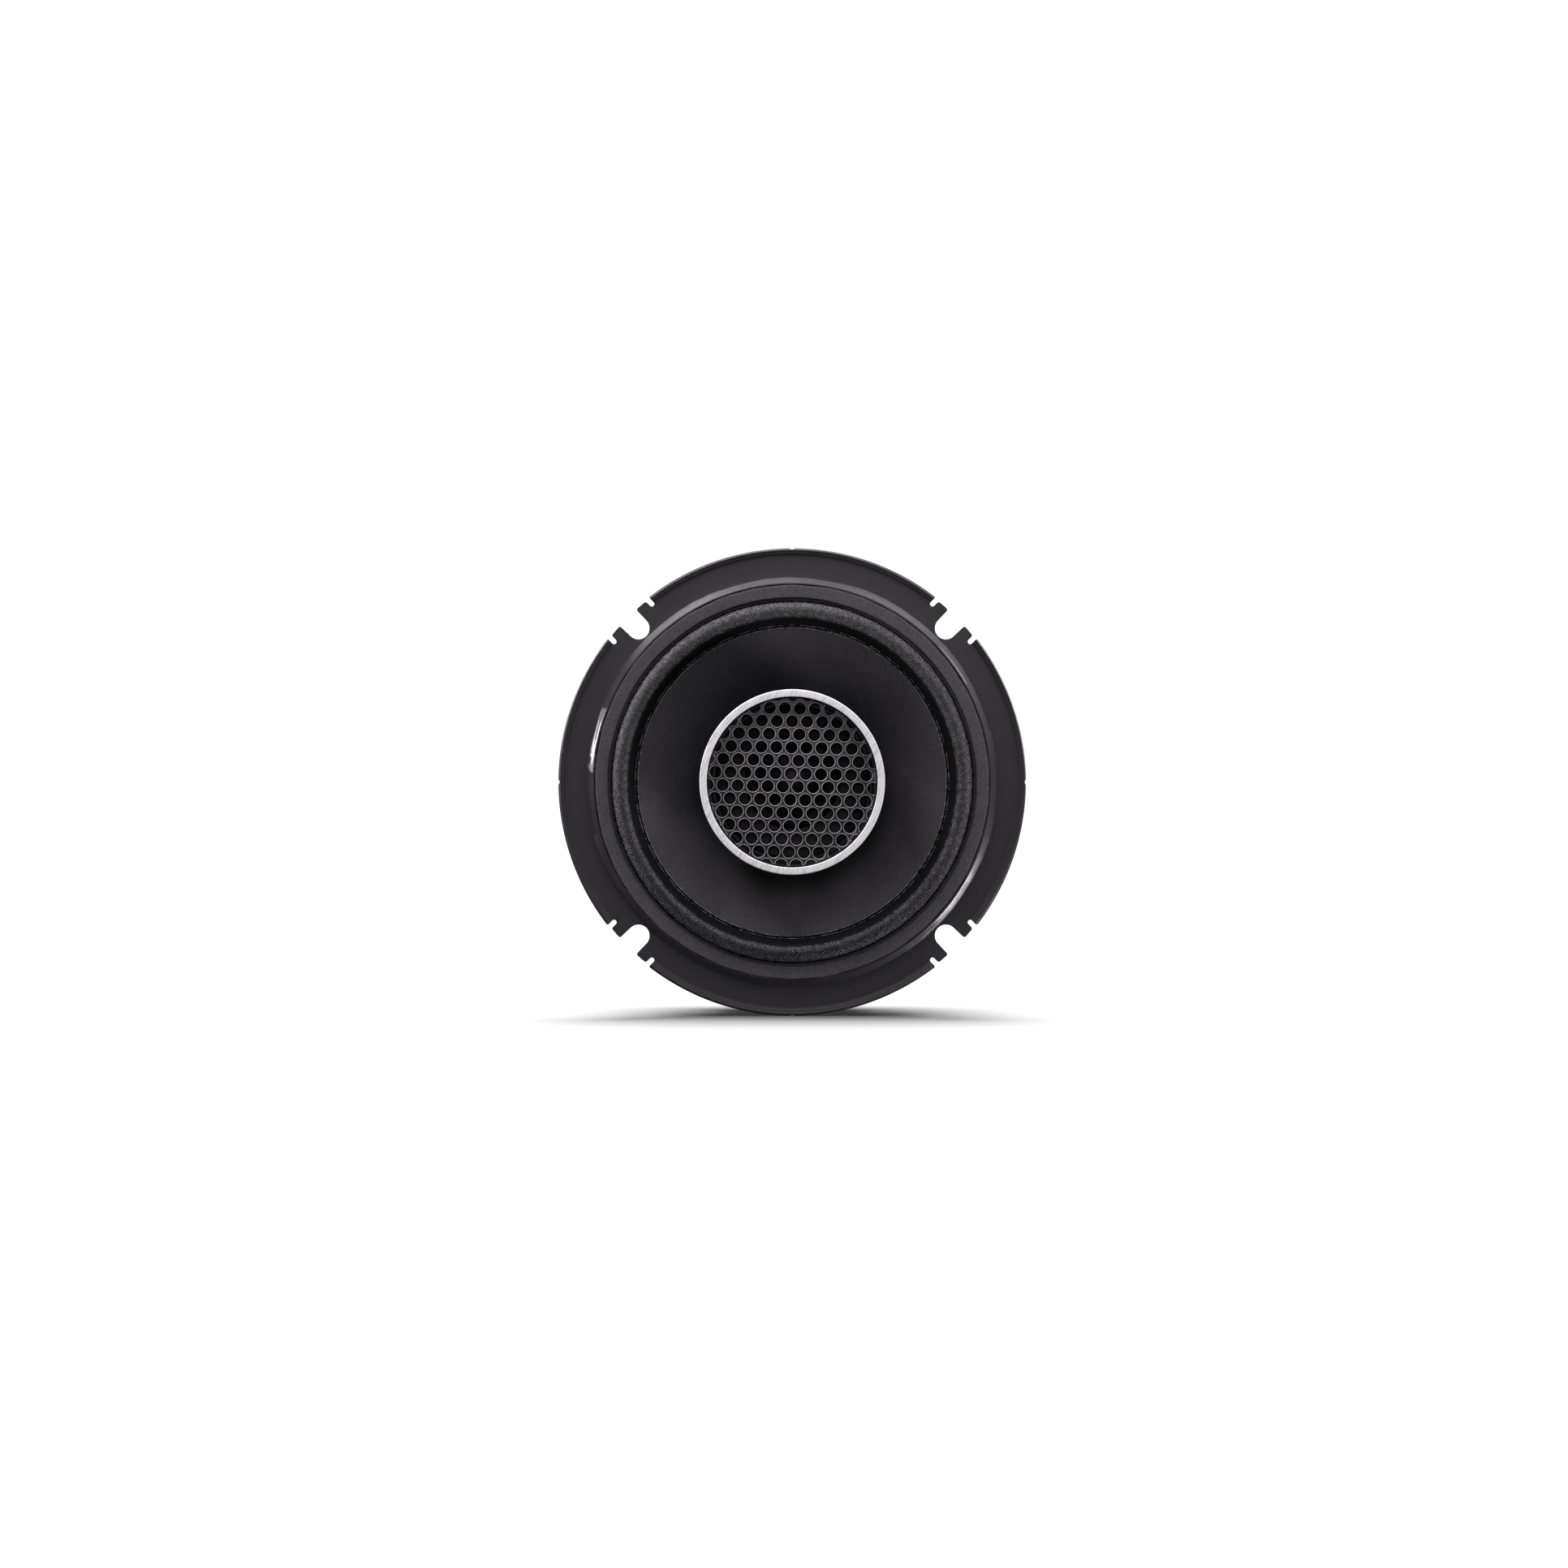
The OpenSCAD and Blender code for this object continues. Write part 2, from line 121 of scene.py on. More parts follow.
def fillet(pts, default=0.0, radii=None, n=4):
    """Rounds the corners of a closed outline of (r, z) points. radii maps a corner's index to its radius."""
    radii = radii or {}
    out = []
    m = len(pts)
    for i in range(m):
        p, a, b = np.array(pts[i], float), np.array(pts[i - 1], float), np.array(pts[(i + 1) % m], float)
        rad = radii.get(i, default)
        u, v = a - p, b - p
        lu, lv = np.linalg.norm(u), np.linalg.norm(v)
        if rad <= 0 or lu < 1e-9 or lv < 1e-9:
            out.append(tuple(p))
            continue
        u, v = u / lu, v / lv
        c = float(np.clip(u @ v, -1, 1))
        half = math.acos(c) / 2
        if half > math.radians(88) or half < 0.02:
            out.append(tuple(p))
            continue
        t = min(rad / math.tan(half), 0.48 * lu, 0.48 * lv)
        rr = t * math.tan(half)
        centre = p + (u + v) / np.linalg.norm(u + v) * (rr / math.sin(half))
        s, e = p + u * t - centre, p + v * t - centre
        a0 = math.atan2(s[1], s[0])
        a1 = math.atan2(e[1], e[0])
        d = (a1 - a0 + math.pi) % TAU - math.pi
        for k in range(n + 1):
            q = a0 + d * k / n
            out.append((centre[0] + rr * math.cos(q), centre[1] + rr * math.sin(q)))
    return out


def densify(pts, step):
    """Adds points along long edges of a closed outline."""
    out = []
    m = len(pts)
    for i in range(m):
        a, b = np.array(pts[i], float), np.array(pts[(i + 1) % m], float)
        k = max(1, int(math.ceil(np.linalg.norm(b - a) / step)))
        for j in range(k):
            out.append(tuple(a + (b - a) * j / k))
    return out


def revolve(pts, seg=360, warp=None):
    """Turns a closed outline of (r, z) in millimetres about the axis. warp(r, z, angle) may move the points."""
    p = np.array(pts, float)
    m = len(p)
    ang = np.arange(seg) / seg * TAU
    r = np.repeat(p[None, :, 0], seg, 0)
    z = np.repeat(p[None, :, 1], seg, 0)
    a = np.repeat(ang[:, None], m, 1)
    if warp:
        r, z = warp(r, z, a)
    v = np.stack([r * np.cos(a), -z, r * np.sin(a)], -1).reshape(-1, 3) * MM
    i = np.arange(m)
    j = np.arange(seg)
    I, J = np.meshgrid(i, j)
    I2, J2 = (I + 1) % m, (J + 1) % seg
    f = np.stack([J * m + I, J * m + I2, J2 * m + I2, J2 * m + I], -1).reshape(-1, 4)
    # a point on the axis is one vertex, not a ring of them
    on_axis = np.where(p[:, 0] < 1e-6)[0]
    if len(on_axis):
        faces = []
        for q in f.tolist():
            g = [(x % m) if (x % m) in set(on_axis.tolist()) else x for x in q]
            h = []
            for x in g:
                if x not in h:
                    h.append(x)
            if len(h) >= 3:
                faces.append(h)
        used = sorted({x for q in faces for x in q})
        remap = {x: k for k, x in enumerate(used)}
        return v[used], [[remap[x] for x in q] for q in faces]
    return v, f.tolist()


def merge(parts):
    """Joins several (vertices, faces) into one."""
    vs, fs, off = [], [], 0
    for v, f in parts:
        vs.append(np.asarray(v, float))
        fs += [[i + off for i in q] for q in f]
        off += len(v)
    return np.vstack(vs), fs


def prism(outline, z0, z1):
    """A closed prism of an (x, y) outline between two heights, in the speaker's front-facing frame, in mm."""
    n = len(outline)
    p = np.array(outline, float)
    v = np.vstack([np.c_[p[:, 0], np.full(n, -z0), p[:, 1]], np.c_[p[:, 0], np.full(n, -z1), p[:, 1]]]) * MM
    f = [list(range(n)), list(range(2 * n - 1, n - 1, -1))]
    f += [[i, i + n, (i + 1) % n + n, (i + 1) % n] for i in range(n)]
    return v, f


def turned(outline, deg):
    c, s = math.cos(math.radians(deg)), math.sin(math.radians(deg))
    return [(x * c - y * s, x * s + y * c) for x, y in outline]


def apply_modifiers(o):
    dg = bpy.context.evaluated_depsgraph_get()
    me = bpy.data.meshes.new_from_object(o.evaluated_get(dg), depsgraph=dg)
    old = o.data
    o.modifiers.clear()
    o.data = me
    bpy.data.meshes.remove(old)
    me.name = o.name
    return o


def boolean(o, cutters, operation="DIFFERENCE"):
    v, f = merge(cutters) if isinstance(cutters, list) else cutters
    me = bpy.data.meshes.new("cutter")
    me.from_pydata([tuple(x) for x in v], [], f)
    bm = bmesh.new()
    bm.from_mesh(me)
    bmesh.ops.recalc_face_normals(bm, faces=bm.faces)
    bm.to_mesh(me)
    bm.free()
    c = bpy.data.objects.new("cutter", me)
    scene.collection.objects.link(c)
    m = o.modifiers.new("cut", "BOOLEAN")
    m.operation = operation
    m.solver = "EXACT"
    m.object = c
    bpy.context.view_layer.update()
    apply_modifiers(o)
    bpy.data.objects.remove(c)
    bpy.data.meshes.remove(me)
    return o


def bevel(o, width, segments=2, angle=30):
    m = o.modifiers.new("bevel", "BEVEL")
    m.width = width * MM
    m.segments = segments
    m.limit_method = "ANGLE"
    m.angle_limit = math.radians(angle)
    m.harden_normals = False
    bpy.context.view_layer.update()
    apply_modifiers(o)
    return o


def clean(o, dist=1e-6):
    bm = bmesh.new()
    bm.from_mesh(o.data)
    bmesh.ops.remove_doubles(bm, verts=bm.verts, dist=dist)
    bmesh.ops.dissolve_degenerate(bm, edges=bm.edges, dist=1e-7)
    loose = [v for v in bm.verts if not v.link_faces]
    bmesh.ops.delete(bm, geom=loose, context="VERTS")
    bmesh.ops.recalc_face_normals(bm, faces=bm.faces)
    bm.to_mesh(o.data)
    bm.free()


def tube(path, radius, sides=12, closed_ends=True, twist=0.0):
    """A round tube along points in mm, in the speaker's front-facing frame. radius may be a list."""
    q = np.array(path, float)
    n = len(q)
    t = np.gradient(q, axis=0)
    t /= np.linalg.norm(t, axis=1)[:, None]
    up = np.array([0.0, 1.0, 0.0])
    if abs(t[0] @ up) > 0.9:
        up = np.array([1.0, 0.0, 0.0])
    b = np.cross(t[0], up)
    b /= np.linalg.norm(b)
    rings = []
    rad = np.full(n, radius, float) if np.isscalar(radius) else np.array(radius, float)
    for i in range(n):
        b = b - t[i] * (b @ t[i])
        b /= np.linalg.norm(b)
        g = np.cross(t[i], b)
        a = np.arange(sides) / sides * TAU + twist * i
        rings.append(q[i] + rad[i] * (np.cos(a)[:, None] * b + np.sin(a)[:, None] * g))
    v = np.vstack(rings)
    v = np.c_[v[:, 0], -v[:, 2], v[:, 1]] * MM
    f = []
    for i in range(n - 1):
        for j in range(sides):
            k = (j + 1) % sides
            f.append([i * sides + j, i * sides + k, (i + 1) * sides + k, (i + 1) * sides + j])
    if closed_ends:
        f.append(list(range(sides)))
        f.append([(n - 1) * sides + j for j in range(sides - 1, -1, -1)])
    return v, f


def catmull(pts, n):
    p = np.array(pts, float)
    out = []
    for i in range(len(p) - 1):
        a, b, c, d = p[max(0, i - 1)], p[i], p[i + 1], p[min(len(p) - 1, i + 2)]
        for k in range(n):
            u = k / n
            out.append(0.5 * (2 * b + (c - a) * u + (2 * a - 5 * b + 4 * c - d) * u * u + (3 * b - a - 3 * c + d) * u ** 3))
    out.append(p[-1])
    return np.array(out)


# ------------------------------------------------------------------ materials


class Mat:
    """Builds a node material. Every constant goes straight on the shader's own sockets."""

    def __init__(self, name, rough=0.5, metal=0.0, base=None, spec=0.5, ior=1.5, **extra):
        self.m = bpy.data.materials.new(name)
        self.m.use_nodes = True
        self.nt = self.m.node_tree
        self.nt.nodes.clear()
        self.out = self.nt.nodes.new("ShaderNodeOutputMaterial")
        self.b = self.nt.nodes.new("ShaderNodeBsdfPrincipled")
        self.nt.links.new(self.b.outputs[0], self.out.inputs["Surface"])
        self.b.inputs["Roughness"].default_value = rough
        self.b.inputs["Metallic"].default_value = metal
        self.b.inputs["IOR"].default_value = ior
        self.b.inputs["Specular IOR Level"].default_value = spec
        if base:
            self.b.inputs["Base Color"].default_value = (*base, 1)
        for k, v in extra.items():
            self.b.inputs[k.replace("_", " ")].default_value = v
        tc = self.nt.nodes.new("ShaderNodeTexCoord")
        self.co = tc.outputs["Object"]

    def new(self, kind, **props):
        n = self.nt.nodes.new(kind)
        for k, v in props.items():
            setattr(n, k, v)
        return n

    def link(self, a, b):
        self.nt.links.new(a, b)

    def mapping(self, scale=(1, 1, 1), rot=(0, 0, 0), src=None):
        n = self.new("ShaderNodeMapping")
        n.inputs["Scale"].default_value = scale
        n.inputs["Rotation"].default_value = rot
        self.link(src or self.co, n.inputs["Vector"])
        return n.outputs[0]

    def noise(self, scale, detail=3, rough=0.6, src=None, dist=0.0):
        """scale is in cycles per millimetre."""
        n = self.new("ShaderNodeTexNoise")
        n.inputs["Scale"].default_value = scale * 1000
        n.inputs["Detail"].default_value = detail
        n.inputs["Roughness"].default_value = rough
        n.inputs["Distortion"].default_value = dist
        self.link(src or self.co, n.inputs["Vector"])
        return n.outputs["Fac"]

    def voronoi(self, scale, feature="F1", src=None):
        n = self.new("ShaderNodeTexVoronoi", feature=feature)
        n.inputs["Scale"].default_value = scale * 1000
        self.link(src or self.co, n.inputs["Vector"])
        return n.outputs["Distance"]

    def math(self, op, a, b=None, c=None, clamp=False):
        n = self.new("ShaderNodeMath", operation=op)
        n.use_clamp = clamp
        for i, x in enumerate((a, b, c)):
            if x is None:
                continue
            if isinstance(x, (int, float)):
                n.inputs[i].default_value = x
            else:
                self.link(x, n.inputs[i])
        return n.outputs[0]

    def dot(self, vec, src=None):
        n = self.new("ShaderNodeVectorMath", operation="DOT_PRODUCT")
        self.link(src or self.co, n.inputs[0])
        n.inputs[1].default_value = vec
        return n.outputs["Value"]

    def ramp(self, fac, stops, interp="LINEAR"):
        n = self.new("ShaderNodeValToRGB")
        n.color_ramp.interpolation = interp
        el = n.color_ramp.elements
        while len(el) > 1:
            el.remove(el[-1])
        for i, (p, c) in enumerate(stops):
            e = el[0] if i == 0 else el.new(p)
            e.position = p
            e.color = (*c, 1) if not isinstance(c, (int, float)) else (c, c, c, 1)
        self.link(fac, n.inputs[0])
        return n.outputs[0]

    def mix(self, fac, a, b, blend="MIX"):
        n = self.new("ShaderNodeMix", data_type="RGBA", blend_type=blend)
        if isinstance(fac, (int, float)):
            n.inputs[0].default_value = fac
        else:
            self.link(fac, n.inputs[0])
        for i, x in ((6, a), (7, b)):
            if isinstance(x, tuple):
                n.inputs[i].default_value = (*x, 1)
            else:
                self.link(x, n.inputs[i])
        return n.outputs[2]

    def remap(self, x, a0, a1, b0, b1):
        n = self.new("ShaderNodeMapRange")
        self.link(x, n.inputs[0])
        for i, v in enumerate((a0, a1, b0, b1)):
            n.inputs[i + 1].default_value = v
        return n.outputs[0]

    def color(self, src):
        self.link(src, self.b.inputs["Base Color"])
        return self

    def rough(self, src):
        self.link(src, self.b.inputs["Roughness"])
        return self

    def bump(self, height, dist, strength=1.0, under=None):
        """dist is in millimetres."""
        n = self.new("ShaderNodeBump")
        n.inputs["Strength"].default_value = strength
        n.inputs["Distance"].default_value = dist * MM
        self.link(height, n.inputs["Height"])
        if under is not None:
            self.link(under, n.inputs["Normal"])
        self.link(n.outputs[0], self.b.inputs["Normal"])
        return n.outputs[0]

    def radius(self):
        """Distance from the speaker's axis, in millimetres."""
        n = self.new("ShaderNodeSeparateXYZ")
        self.link(self.co, n.inputs[0])
        x2 = self.math("MULTIPLY", n.outputs[0], n.outputs[0])
        z2 = self.math("MULTIPLY", n.outputs[2], n.outputs[2])
        return self.math("MULTIPLY", self.math("SQRT", self.math("ADD", x2, z2)), 1000.0)


def rgb(v, tint=(1, 1, 1)):
    return (v * tint[0], v * tint[1], v * tint[2])


def powder_coat(name, v=0.02, tint=(1.0, 0.965, 1.03)):
    m = Mat(name, rough=0.5, spec=0.5)
    big = m.noise(0.05, 4, 0.6)
    fine = m.noise(2.6, 3, 0.6)
    gloss_and_painted_glint = m.new("ShaderNodeAttribute", attribute_name="gloss_and_painted_glint").outputs["Fac"]
    # on the pressed step's glint arcs the base colour goes five times lighter: a painted glint, besides the lower
    # roughness there
    m.color(m.mix(gloss_and_painted_glint, m.mix(m.remap(fine, 0.3, 0.7, 0.0, 1.0), rgb(v * 0.78, tint), rgb(v * 1.26, tint)), rgb(v * 5.0, tint)))
    m.link(m.remap(gloss_and_painted_glint, -1.0, 0.0, 0.10, 0.50), m.b.inputs["Specular IOR Level"])
    matt = m.math("ADD", m.remap(big, 0.3, 0.7, 0.43, 0.49), m.remap(fine, 0.3, 0.7, -0.03, 0.03))
    m.rough(m.math("ADD", m.math("MULTIPLY", matt, m.math("SUBTRACT", 1.0, gloss_and_painted_glint)), m.math("MULTIPLY", gloss_and_painted_glint, 0.14)))
    under = m.bump(m.noise(1.1, 2, 0.5), 0.012, 0.6)
    m.bump(m.noise(3.2, 2, 0.6), 0.006, 0.6, under)
    return m.m


def weave(m, pitch, turn_deg, wobble=0.0):
    """Height of a plain weave lying in the plane across the axis. Returns (height, cell parity)."""
    a = math.radians(turn_deg)
    k = 1000.0 / pitch
    src = m.co
    if wobble:
        n = m.new("ShaderNodeTexNoise")
        n.inputs["Scale"].default_value = 110
        n.inputs["Detail"].default_value = 2
        m.link(m.co, n.inputs["Vector"])
        off = m.new("ShaderNodeVectorMath", operation="SUBTRACT")
        m.link(n.outputs["Color"], off.inputs[0])
        off.inputs[1].default_value = (0.5, 0.5, 0.5)
        sc = m.new("ShaderNodeVectorMath", operation="SCALE")
        m.link(off.outputs[0], sc.inputs[0])
        sc.inputs["Scale"].default_value = wobble * MM
        ad = m.new("ShaderNodeVectorMath", operation="ADD")
        m.link(m.co, ad.inputs[0])
        m.link(sc.outputs[0], ad.inputs[1])
        src = ad.outputs[0]
    u = m.dot((math.cos(a) * k, 0, math.sin(a) * k), src)
    v = m.dot((-math.sin(a) * k, 0, math.cos(a) * k), src)
    fu, fv = m.math("FRACT", u), m.math("FRACT", v)
    par = m.math("FLOORED_MODULO", m.math("ADD", m.math("FLOOR", u), m.math("FLOOR", v)), 2.0)

    def crown(f):
        c = m.math("MULTIPLY_ADD", f, 2.0, -1.0)
        return m.math("SUBTRACT", 1.0, m.math("MULTIPLY", c, c))

    cu, cv = crown(fu), crown(fv)
    warp = m.math("MULTIPLY", m.math("SQRT", cu), m.math("MULTIPLY_ADD", cv, 0.6, 0.4))
    weft = m.math("MULTIPLY", m.math("SQRT", cv), m.math("MULTIPLY_ADD", cu, 0.6, 0.4))
    h = m.math("ADD", m.math("MULTIPLY", warp, m.math("SUBTRACT", 1.0, par)), m.math("MULTIPLY", weft, par))
    return h, par


def surround_cloth():
    m = Mat("surround_cloth", rough=0.35, spec=1.0, ior=1.5)
    h, par = weave(m, 0.54, 38, 0.26)
    fuzz = m.noise(0.5, 3, 0.6)
    speck = m.noise(2.2, 2, 0.6)
    # woven on the roll; soaked with adhesive, smooth and black, beside it
    r = m.math("ADD", m.radius(), m.remap(m.noise(0.7, 3, 0.6), 0.3, 0.7, -0.22, 0.22))
    bare = m.math("MULTIPLY", m.remap(r, 46.0, 46.9, 0.0, 1.0), m.remap(r, 51.0, 51.35, 1.0, 0.0))
    h = m.math("MULTIPLY", h, m.math("MULTIPLY_ADD", bare, 0.88, 0.12))
    # the painted highlight on the thread crowns is stronger on some threads than on others
    crown_highlight_level = m.math("POWER", m.remap(m.noise(1.15, 3, 0.7), 0.36, 0.66, 0.12, 1.0), 1.6)
    # painted shade and light by radius: the crest and the cone side darker, the flanks lighter; past 51.2 mm it gives
    # way to a flat painted grey that lightens outwards from near black. It also scales the specular level.
    painted_radial_shade = m.ramp(m.remap(r, 45.0, 52.0, 0.0, 1.0),
                 [(0.0, 0.34), (0.17, 0.40), (0.24, 0.65), (0.31, 1.0), (0.38, 0.9), (0.47, 0.42), (0.54, 0.40), (0.64, 0.72), (0.73, 1.0), (0.86, 0.95), (0.91, 0.5)])
    # thread crowns get a base colour up to 0.3 against near black between them: a painted highlight
    m.color(m.mix(m.math("MULTIPLY", painted_radial_shade, m.remap(r, 51.2, 51.6, 1.0, 0.0)), m.mix(m.remap(r, 51.3, 51.7, 0.0, 1.0), (0.0060, 0.0060, 0.0061), (0.090, 0.090, 0.093)),
                  m.mix(m.math("MULTIPLY", m.remap(h, 0.60, 0.97, 0.0, 1.0), crown_highlight_level), (0.0006, 0.0006, 0.0007), (0.300, 0.300, 0.308))))
    m.link(m.math("MULTIPLY_ADD", m.math("MULTIPLY", painted_radial_shade, m.remap(h, 0.45, 0.90, 0.18, 1.0)), 0.94, 0.06), m.b.inputs["Specular IOR Level"])
    dull = m.math("MULTIPLY_ADD", bare, -0.24, 0.50)
    m.rough(m.math("ADD", m.math("ADD", dull, m.remap(h, 0.35, 0.95, 0.34, 0.0)), m.remap(fuzz, 0.3, 0.7, -0.05, 0.05)))
    m.bump(m.math("MULTIPLY_ADD", m.math("MULTIPLY", speck, bare), 0.30, h), 0.22, 1.0)
    return m.m


def paper_cone():
    m = Mat("cone_fibre", rough=0.62, spec=0.4)
    r = m.radius()
    fibre = m.noise(2.6, 4, 0.75, dist=0.6)
    blot = m.noise(0.09, 3, 0.6)
    fibre_tone = m.math("ADD", m.remap(fibre, 0.32, 0.68, -0.026, 0.026), m.remap(blot, 0.3, 0.7, -0.004, 0.004))
    # lighter towards the outer edge, from 0.046 at 26 mm to 0.055 at 44 mm: painted light, on top of the fibre and blot
    # tone
    level = m.math("ADD", m.remap(r, 26.0, 44.0, 0.046, 0.055), fibre_tone, clamp=True)
    comb = m.new("ShaderNodeCombineColor")
    m.link(level, comb.inputs[0])
    m.link(m.math("MULTIPLY", level, 0.985), comb.inputs[1])
    m.link(m.math("MULTIPLY", level, 1.03), comb.inputs[2])
    m.color(comb.outputs[0])
    under = m.bump(fibre, 0.07, 0.8)
    m.bump(m.noise(0.35, 3, 0.6), 0.08, 0.25, under)
    return m.m


def gasket_board():
    m = Mat("gasket_board", rough=0.8, spec=0.3)
    grain = m.noise(1.7, 5, 0.75)
    blot = m.noise(0.12, 2, 0.5)
    m.color(m.mix(m.math("ADD", m.remap(grain, 0.34, 0.66, 0.0, 0.85), m.remap(blot, 0.3, 0.7, 0.0, 0.15), clamp=True),
                  (0.048, 0.048, 0.051), (0.108, 0.107, 0.112)))
    m.bump(grain, 0.05, 0.5)
    return m.m


def adhesive():
    m = Mat("black_adhesive", rough=0.16, spec=0.6, base=(0.004, 0.004, 0.004))
    n = m.noise(0.9, 3, 0.6)
    m.rough(m.remap(n, 0.3, 0.7, 0.10, 0.35))
    # a grey base colour, 0.05 to 0.30, stands in for the glints along the black ridges: a painted highlight
    m.color(m.mix(m.remap(n, 0.35, 0.65, 0.0, 1.0), (0.050, 0.050, 0.051), (0.300, 0.294, 0.300)))
    m.bump(m.noise(1.3, 2, 0.5), 0.08, 0.7)
    return m.m


def brushed(name, v=0.86, tint=(1, 1, 1.0), deg=62):
    """Straight, steep brushing across the face of a bright part."""
    m = Mat(name, rough=0.4, metal=0.05, spec=0.8)
    a = math.radians(deg)

    def strokes(across, along, detail):
        src = m.mapping(rot=(0, a, 0))
        st = m.new("ShaderNodeVectorMath", operation="MULTIPLY")
        m.link(src, st.inputs[0])
        st.inputs[1].default_value = (along * 1000, 60, across * 1000)
        n = m.new("ShaderNodeTexNoise")
        n.inputs["Scale"].default_value = 1.0
        n.inputs["Detail"].default_value = detail
        n.inputs["Roughness"].default_value = 0.65
        m.link(st.outputs[0], n.inputs["Vector"])
        return n.outputs["Fac"]

    fine, coarse = strokes(4.2, 0.36, 3), strokes(1.6, 0.16, 2)
    f = m.math("ADD", m.math("MULTIPLY", fine, 0.65), m.math("MULTIPLY", coarse, 0.35))
    face = m.mix(m.remap(f, 0.36, 0.50, 0.0, 1.0), rgb(v * 0.56, tint), rgb(v, tint))
    # on the ring's outer side wall, beyond 26.04 mm, the colour is darkened towards 0.22: painted shade
    m.color(m.mix(m.remap(m.radius(), 26.04, 26.14, 0.0, 0.62), face, rgb(0.22, tint)))
    m.rough(m.remap(f, 0.35, 0.65, 0.50, 0.32))
    m.bump(f, 0.02, 0.8)
    return m.m


def turned_metal(name, v=0.55, tint=(1, 1, 0.97), rough=(0.25, 0.4), pitch=0.35, stain=(1.0, 0.95, 0.8), depth=0.004, edge=None):
    """Lathe-turned, plated steel: fine rings about the axis, a faint stain, and beyond a given radius a darker colour
    painted on the edge as shade.
    """
    m = Mat(name, rough=0.3, metal=1.0)
    r = m.radius()
    n = m.new("ShaderNodeTexNoise", noise_dimensions="1D")
    n.inputs["Scale"].default_value = 1.0 / pitch
    n.inputs["Detail"].default_value = 5
    n.inputs["Roughness"].default_value = 0.7
    m.link(r, n.inputs["W"])
    f = n.outputs["Fac"]
    big = m.noise(0.035, 3, 0.6)
    spots = m.noise(0.6, 3, 0.6)
    base = m.mix(m.remap(big, 0.35, 0.7, 0.0, 0.5), rgb(v, tint), tuple(v * s for s in stain))
    tone = m.mix(m.remap(spots, 0.5, 0.8, 0.0, 0.35), base, rgb(v * 0.72, tint))
    # beyond the edge radius the colour drops to 0.3 of its value: painted shade on the rim of the plate
    if edge:
        tone = m.mix(m.remap(r, edge - 0.15, edge, 0.0, 0.8), tone, rgb(v * 0.30, tint))
    m.color(tone)
    m.rough(m.math("ADD", m.remap(f, 0.3, 0.7, rough[0], rough[1]), m.remap(big, 0.3, 0.7, -0.04, 0.08)))
    m.bump(f, depth, 0.6)
    return m.m


def ferrite():
    m = Mat("ferrite", rough=0.55, spec=0.5)
    g = m.noise(0.9, 5, 0.75)
    pits = m.voronoi(0.9)
    big = m.noise(0.06, 3, 0.6)
    m.color(m.mix(m.math("ADD", m.remap(g, 0.35, 0.65, 0.0, 0.7), m.remap(big, 0.3, 0.7, 0.0, 0.3), clamp=True),
                  (0.014, 0.014, 0.016), (0.040, 0.041, 0.045)))
    m.rough(m.remap(g, 0.3, 0.7, 0.42, 0.66))
    under = m.bump(m.remap(pits, 0.0, 0.16, 0.0, 1.0), 0.05, 0.35)
    m.bump(g, 0.03, 0.5, under)
    return m.m


def moulded(name, v=0.008, rough=0.45, tint=(1, 1, 1), grain=2.2, depth=0.012, spec=0.5):
    m = Mat(name, rough=rough, spec=spec)
    g = m.noise(grain, 3, 0.6)
    big = m.noise(0.07, 3, 0.6)
    m.color(m.mix(m.remap(g, 0.3, 0.7, 0.0, 1.0), rgb(v * 0.8, tint), rgb(v * 1.25, tint)))
    m.rough(m.math("ADD", m.remap(g, 0.3, 0.7, rough - 0.05, rough + 0.05), m.remap(big, 0.3, 0.7, -0.04, 0.04)))
    m.bump(g, depth, 0.6)
    return m.m


def phenolic():
    m = Mat("phenolic_board", rough=0.42, spec=0.5)
    src = m.mapping(scale=(1, 1, 0.18))
    f = m.noise(1.3, 4, 0.65, src=src)
    big = m.noise(0.12, 3, 0.6)
    m.color(m.mix(m.math("ADD", m.remap(f, 0.3, 0.7, 0, 0.7), m.remap(big, 0.3, 0.7, 0, 0.3), clamp=True),
                  (0.075, 0.028, 0.010), (0.19, 0.085, 0.030)))
    m.rough(m.remap(f, 0.3, 0.7, 0.36, 0.5))
    m.bump(f, 0.01, 0.5)
    return m.m


def spider_cloth():
    m = Mat("spider_cloth", rough=0.6, spec=0.4)
    h, par = weave(m, 0.42, 20, 0.05)
    big = m.noise(0.08, 3, 0.6)
    a = m.mix(m.remap(big, 0.3, 0.7, 0, 1), (0.36, 0.25, 0.075), (0.50, 0.37, 0.13))
    m.color(m.mix(m.remap(h, 0.1, 0.9, 0, 1), (0.13, 0.08, 0.02), a))
    m.rough(m.remap(h, 0.2, 0.9, 0.75, 0.45))
    m.bump(h, 0.10, 0.9)
    return m.m


def copper():
    m = Mat("copper_winding", rough=0.28, metal=1.0)
    n = m.noise(0.5, 3, 0.6)
    m.color(m.mix(n, (0.42, 0.13, 0.045), (0.75, 0.30, 0.12)))
    m.rough(m.remap(n, 0.3, 0.7, 0.2, 0.36))
    m.bump(m.noise(3.0, 2, 0.5), 0.006, 0.5)
    return m.m


def former_film():
    m = Mat("coil_former", rough=0.3, spec=0.5)
    n = m.noise(0.25, 3, 0.6)
    m.color(m.mix(n, (0.33, 0.14, 0.025), (0.52, 0.27, 0.06)))
    m.rough(m.remap(n, 0.3, 0.7, 0.22, 0.38))
    m.bump(m.noise(0.8, 2, 0.5), 0.01, 0.4)
    return m.m


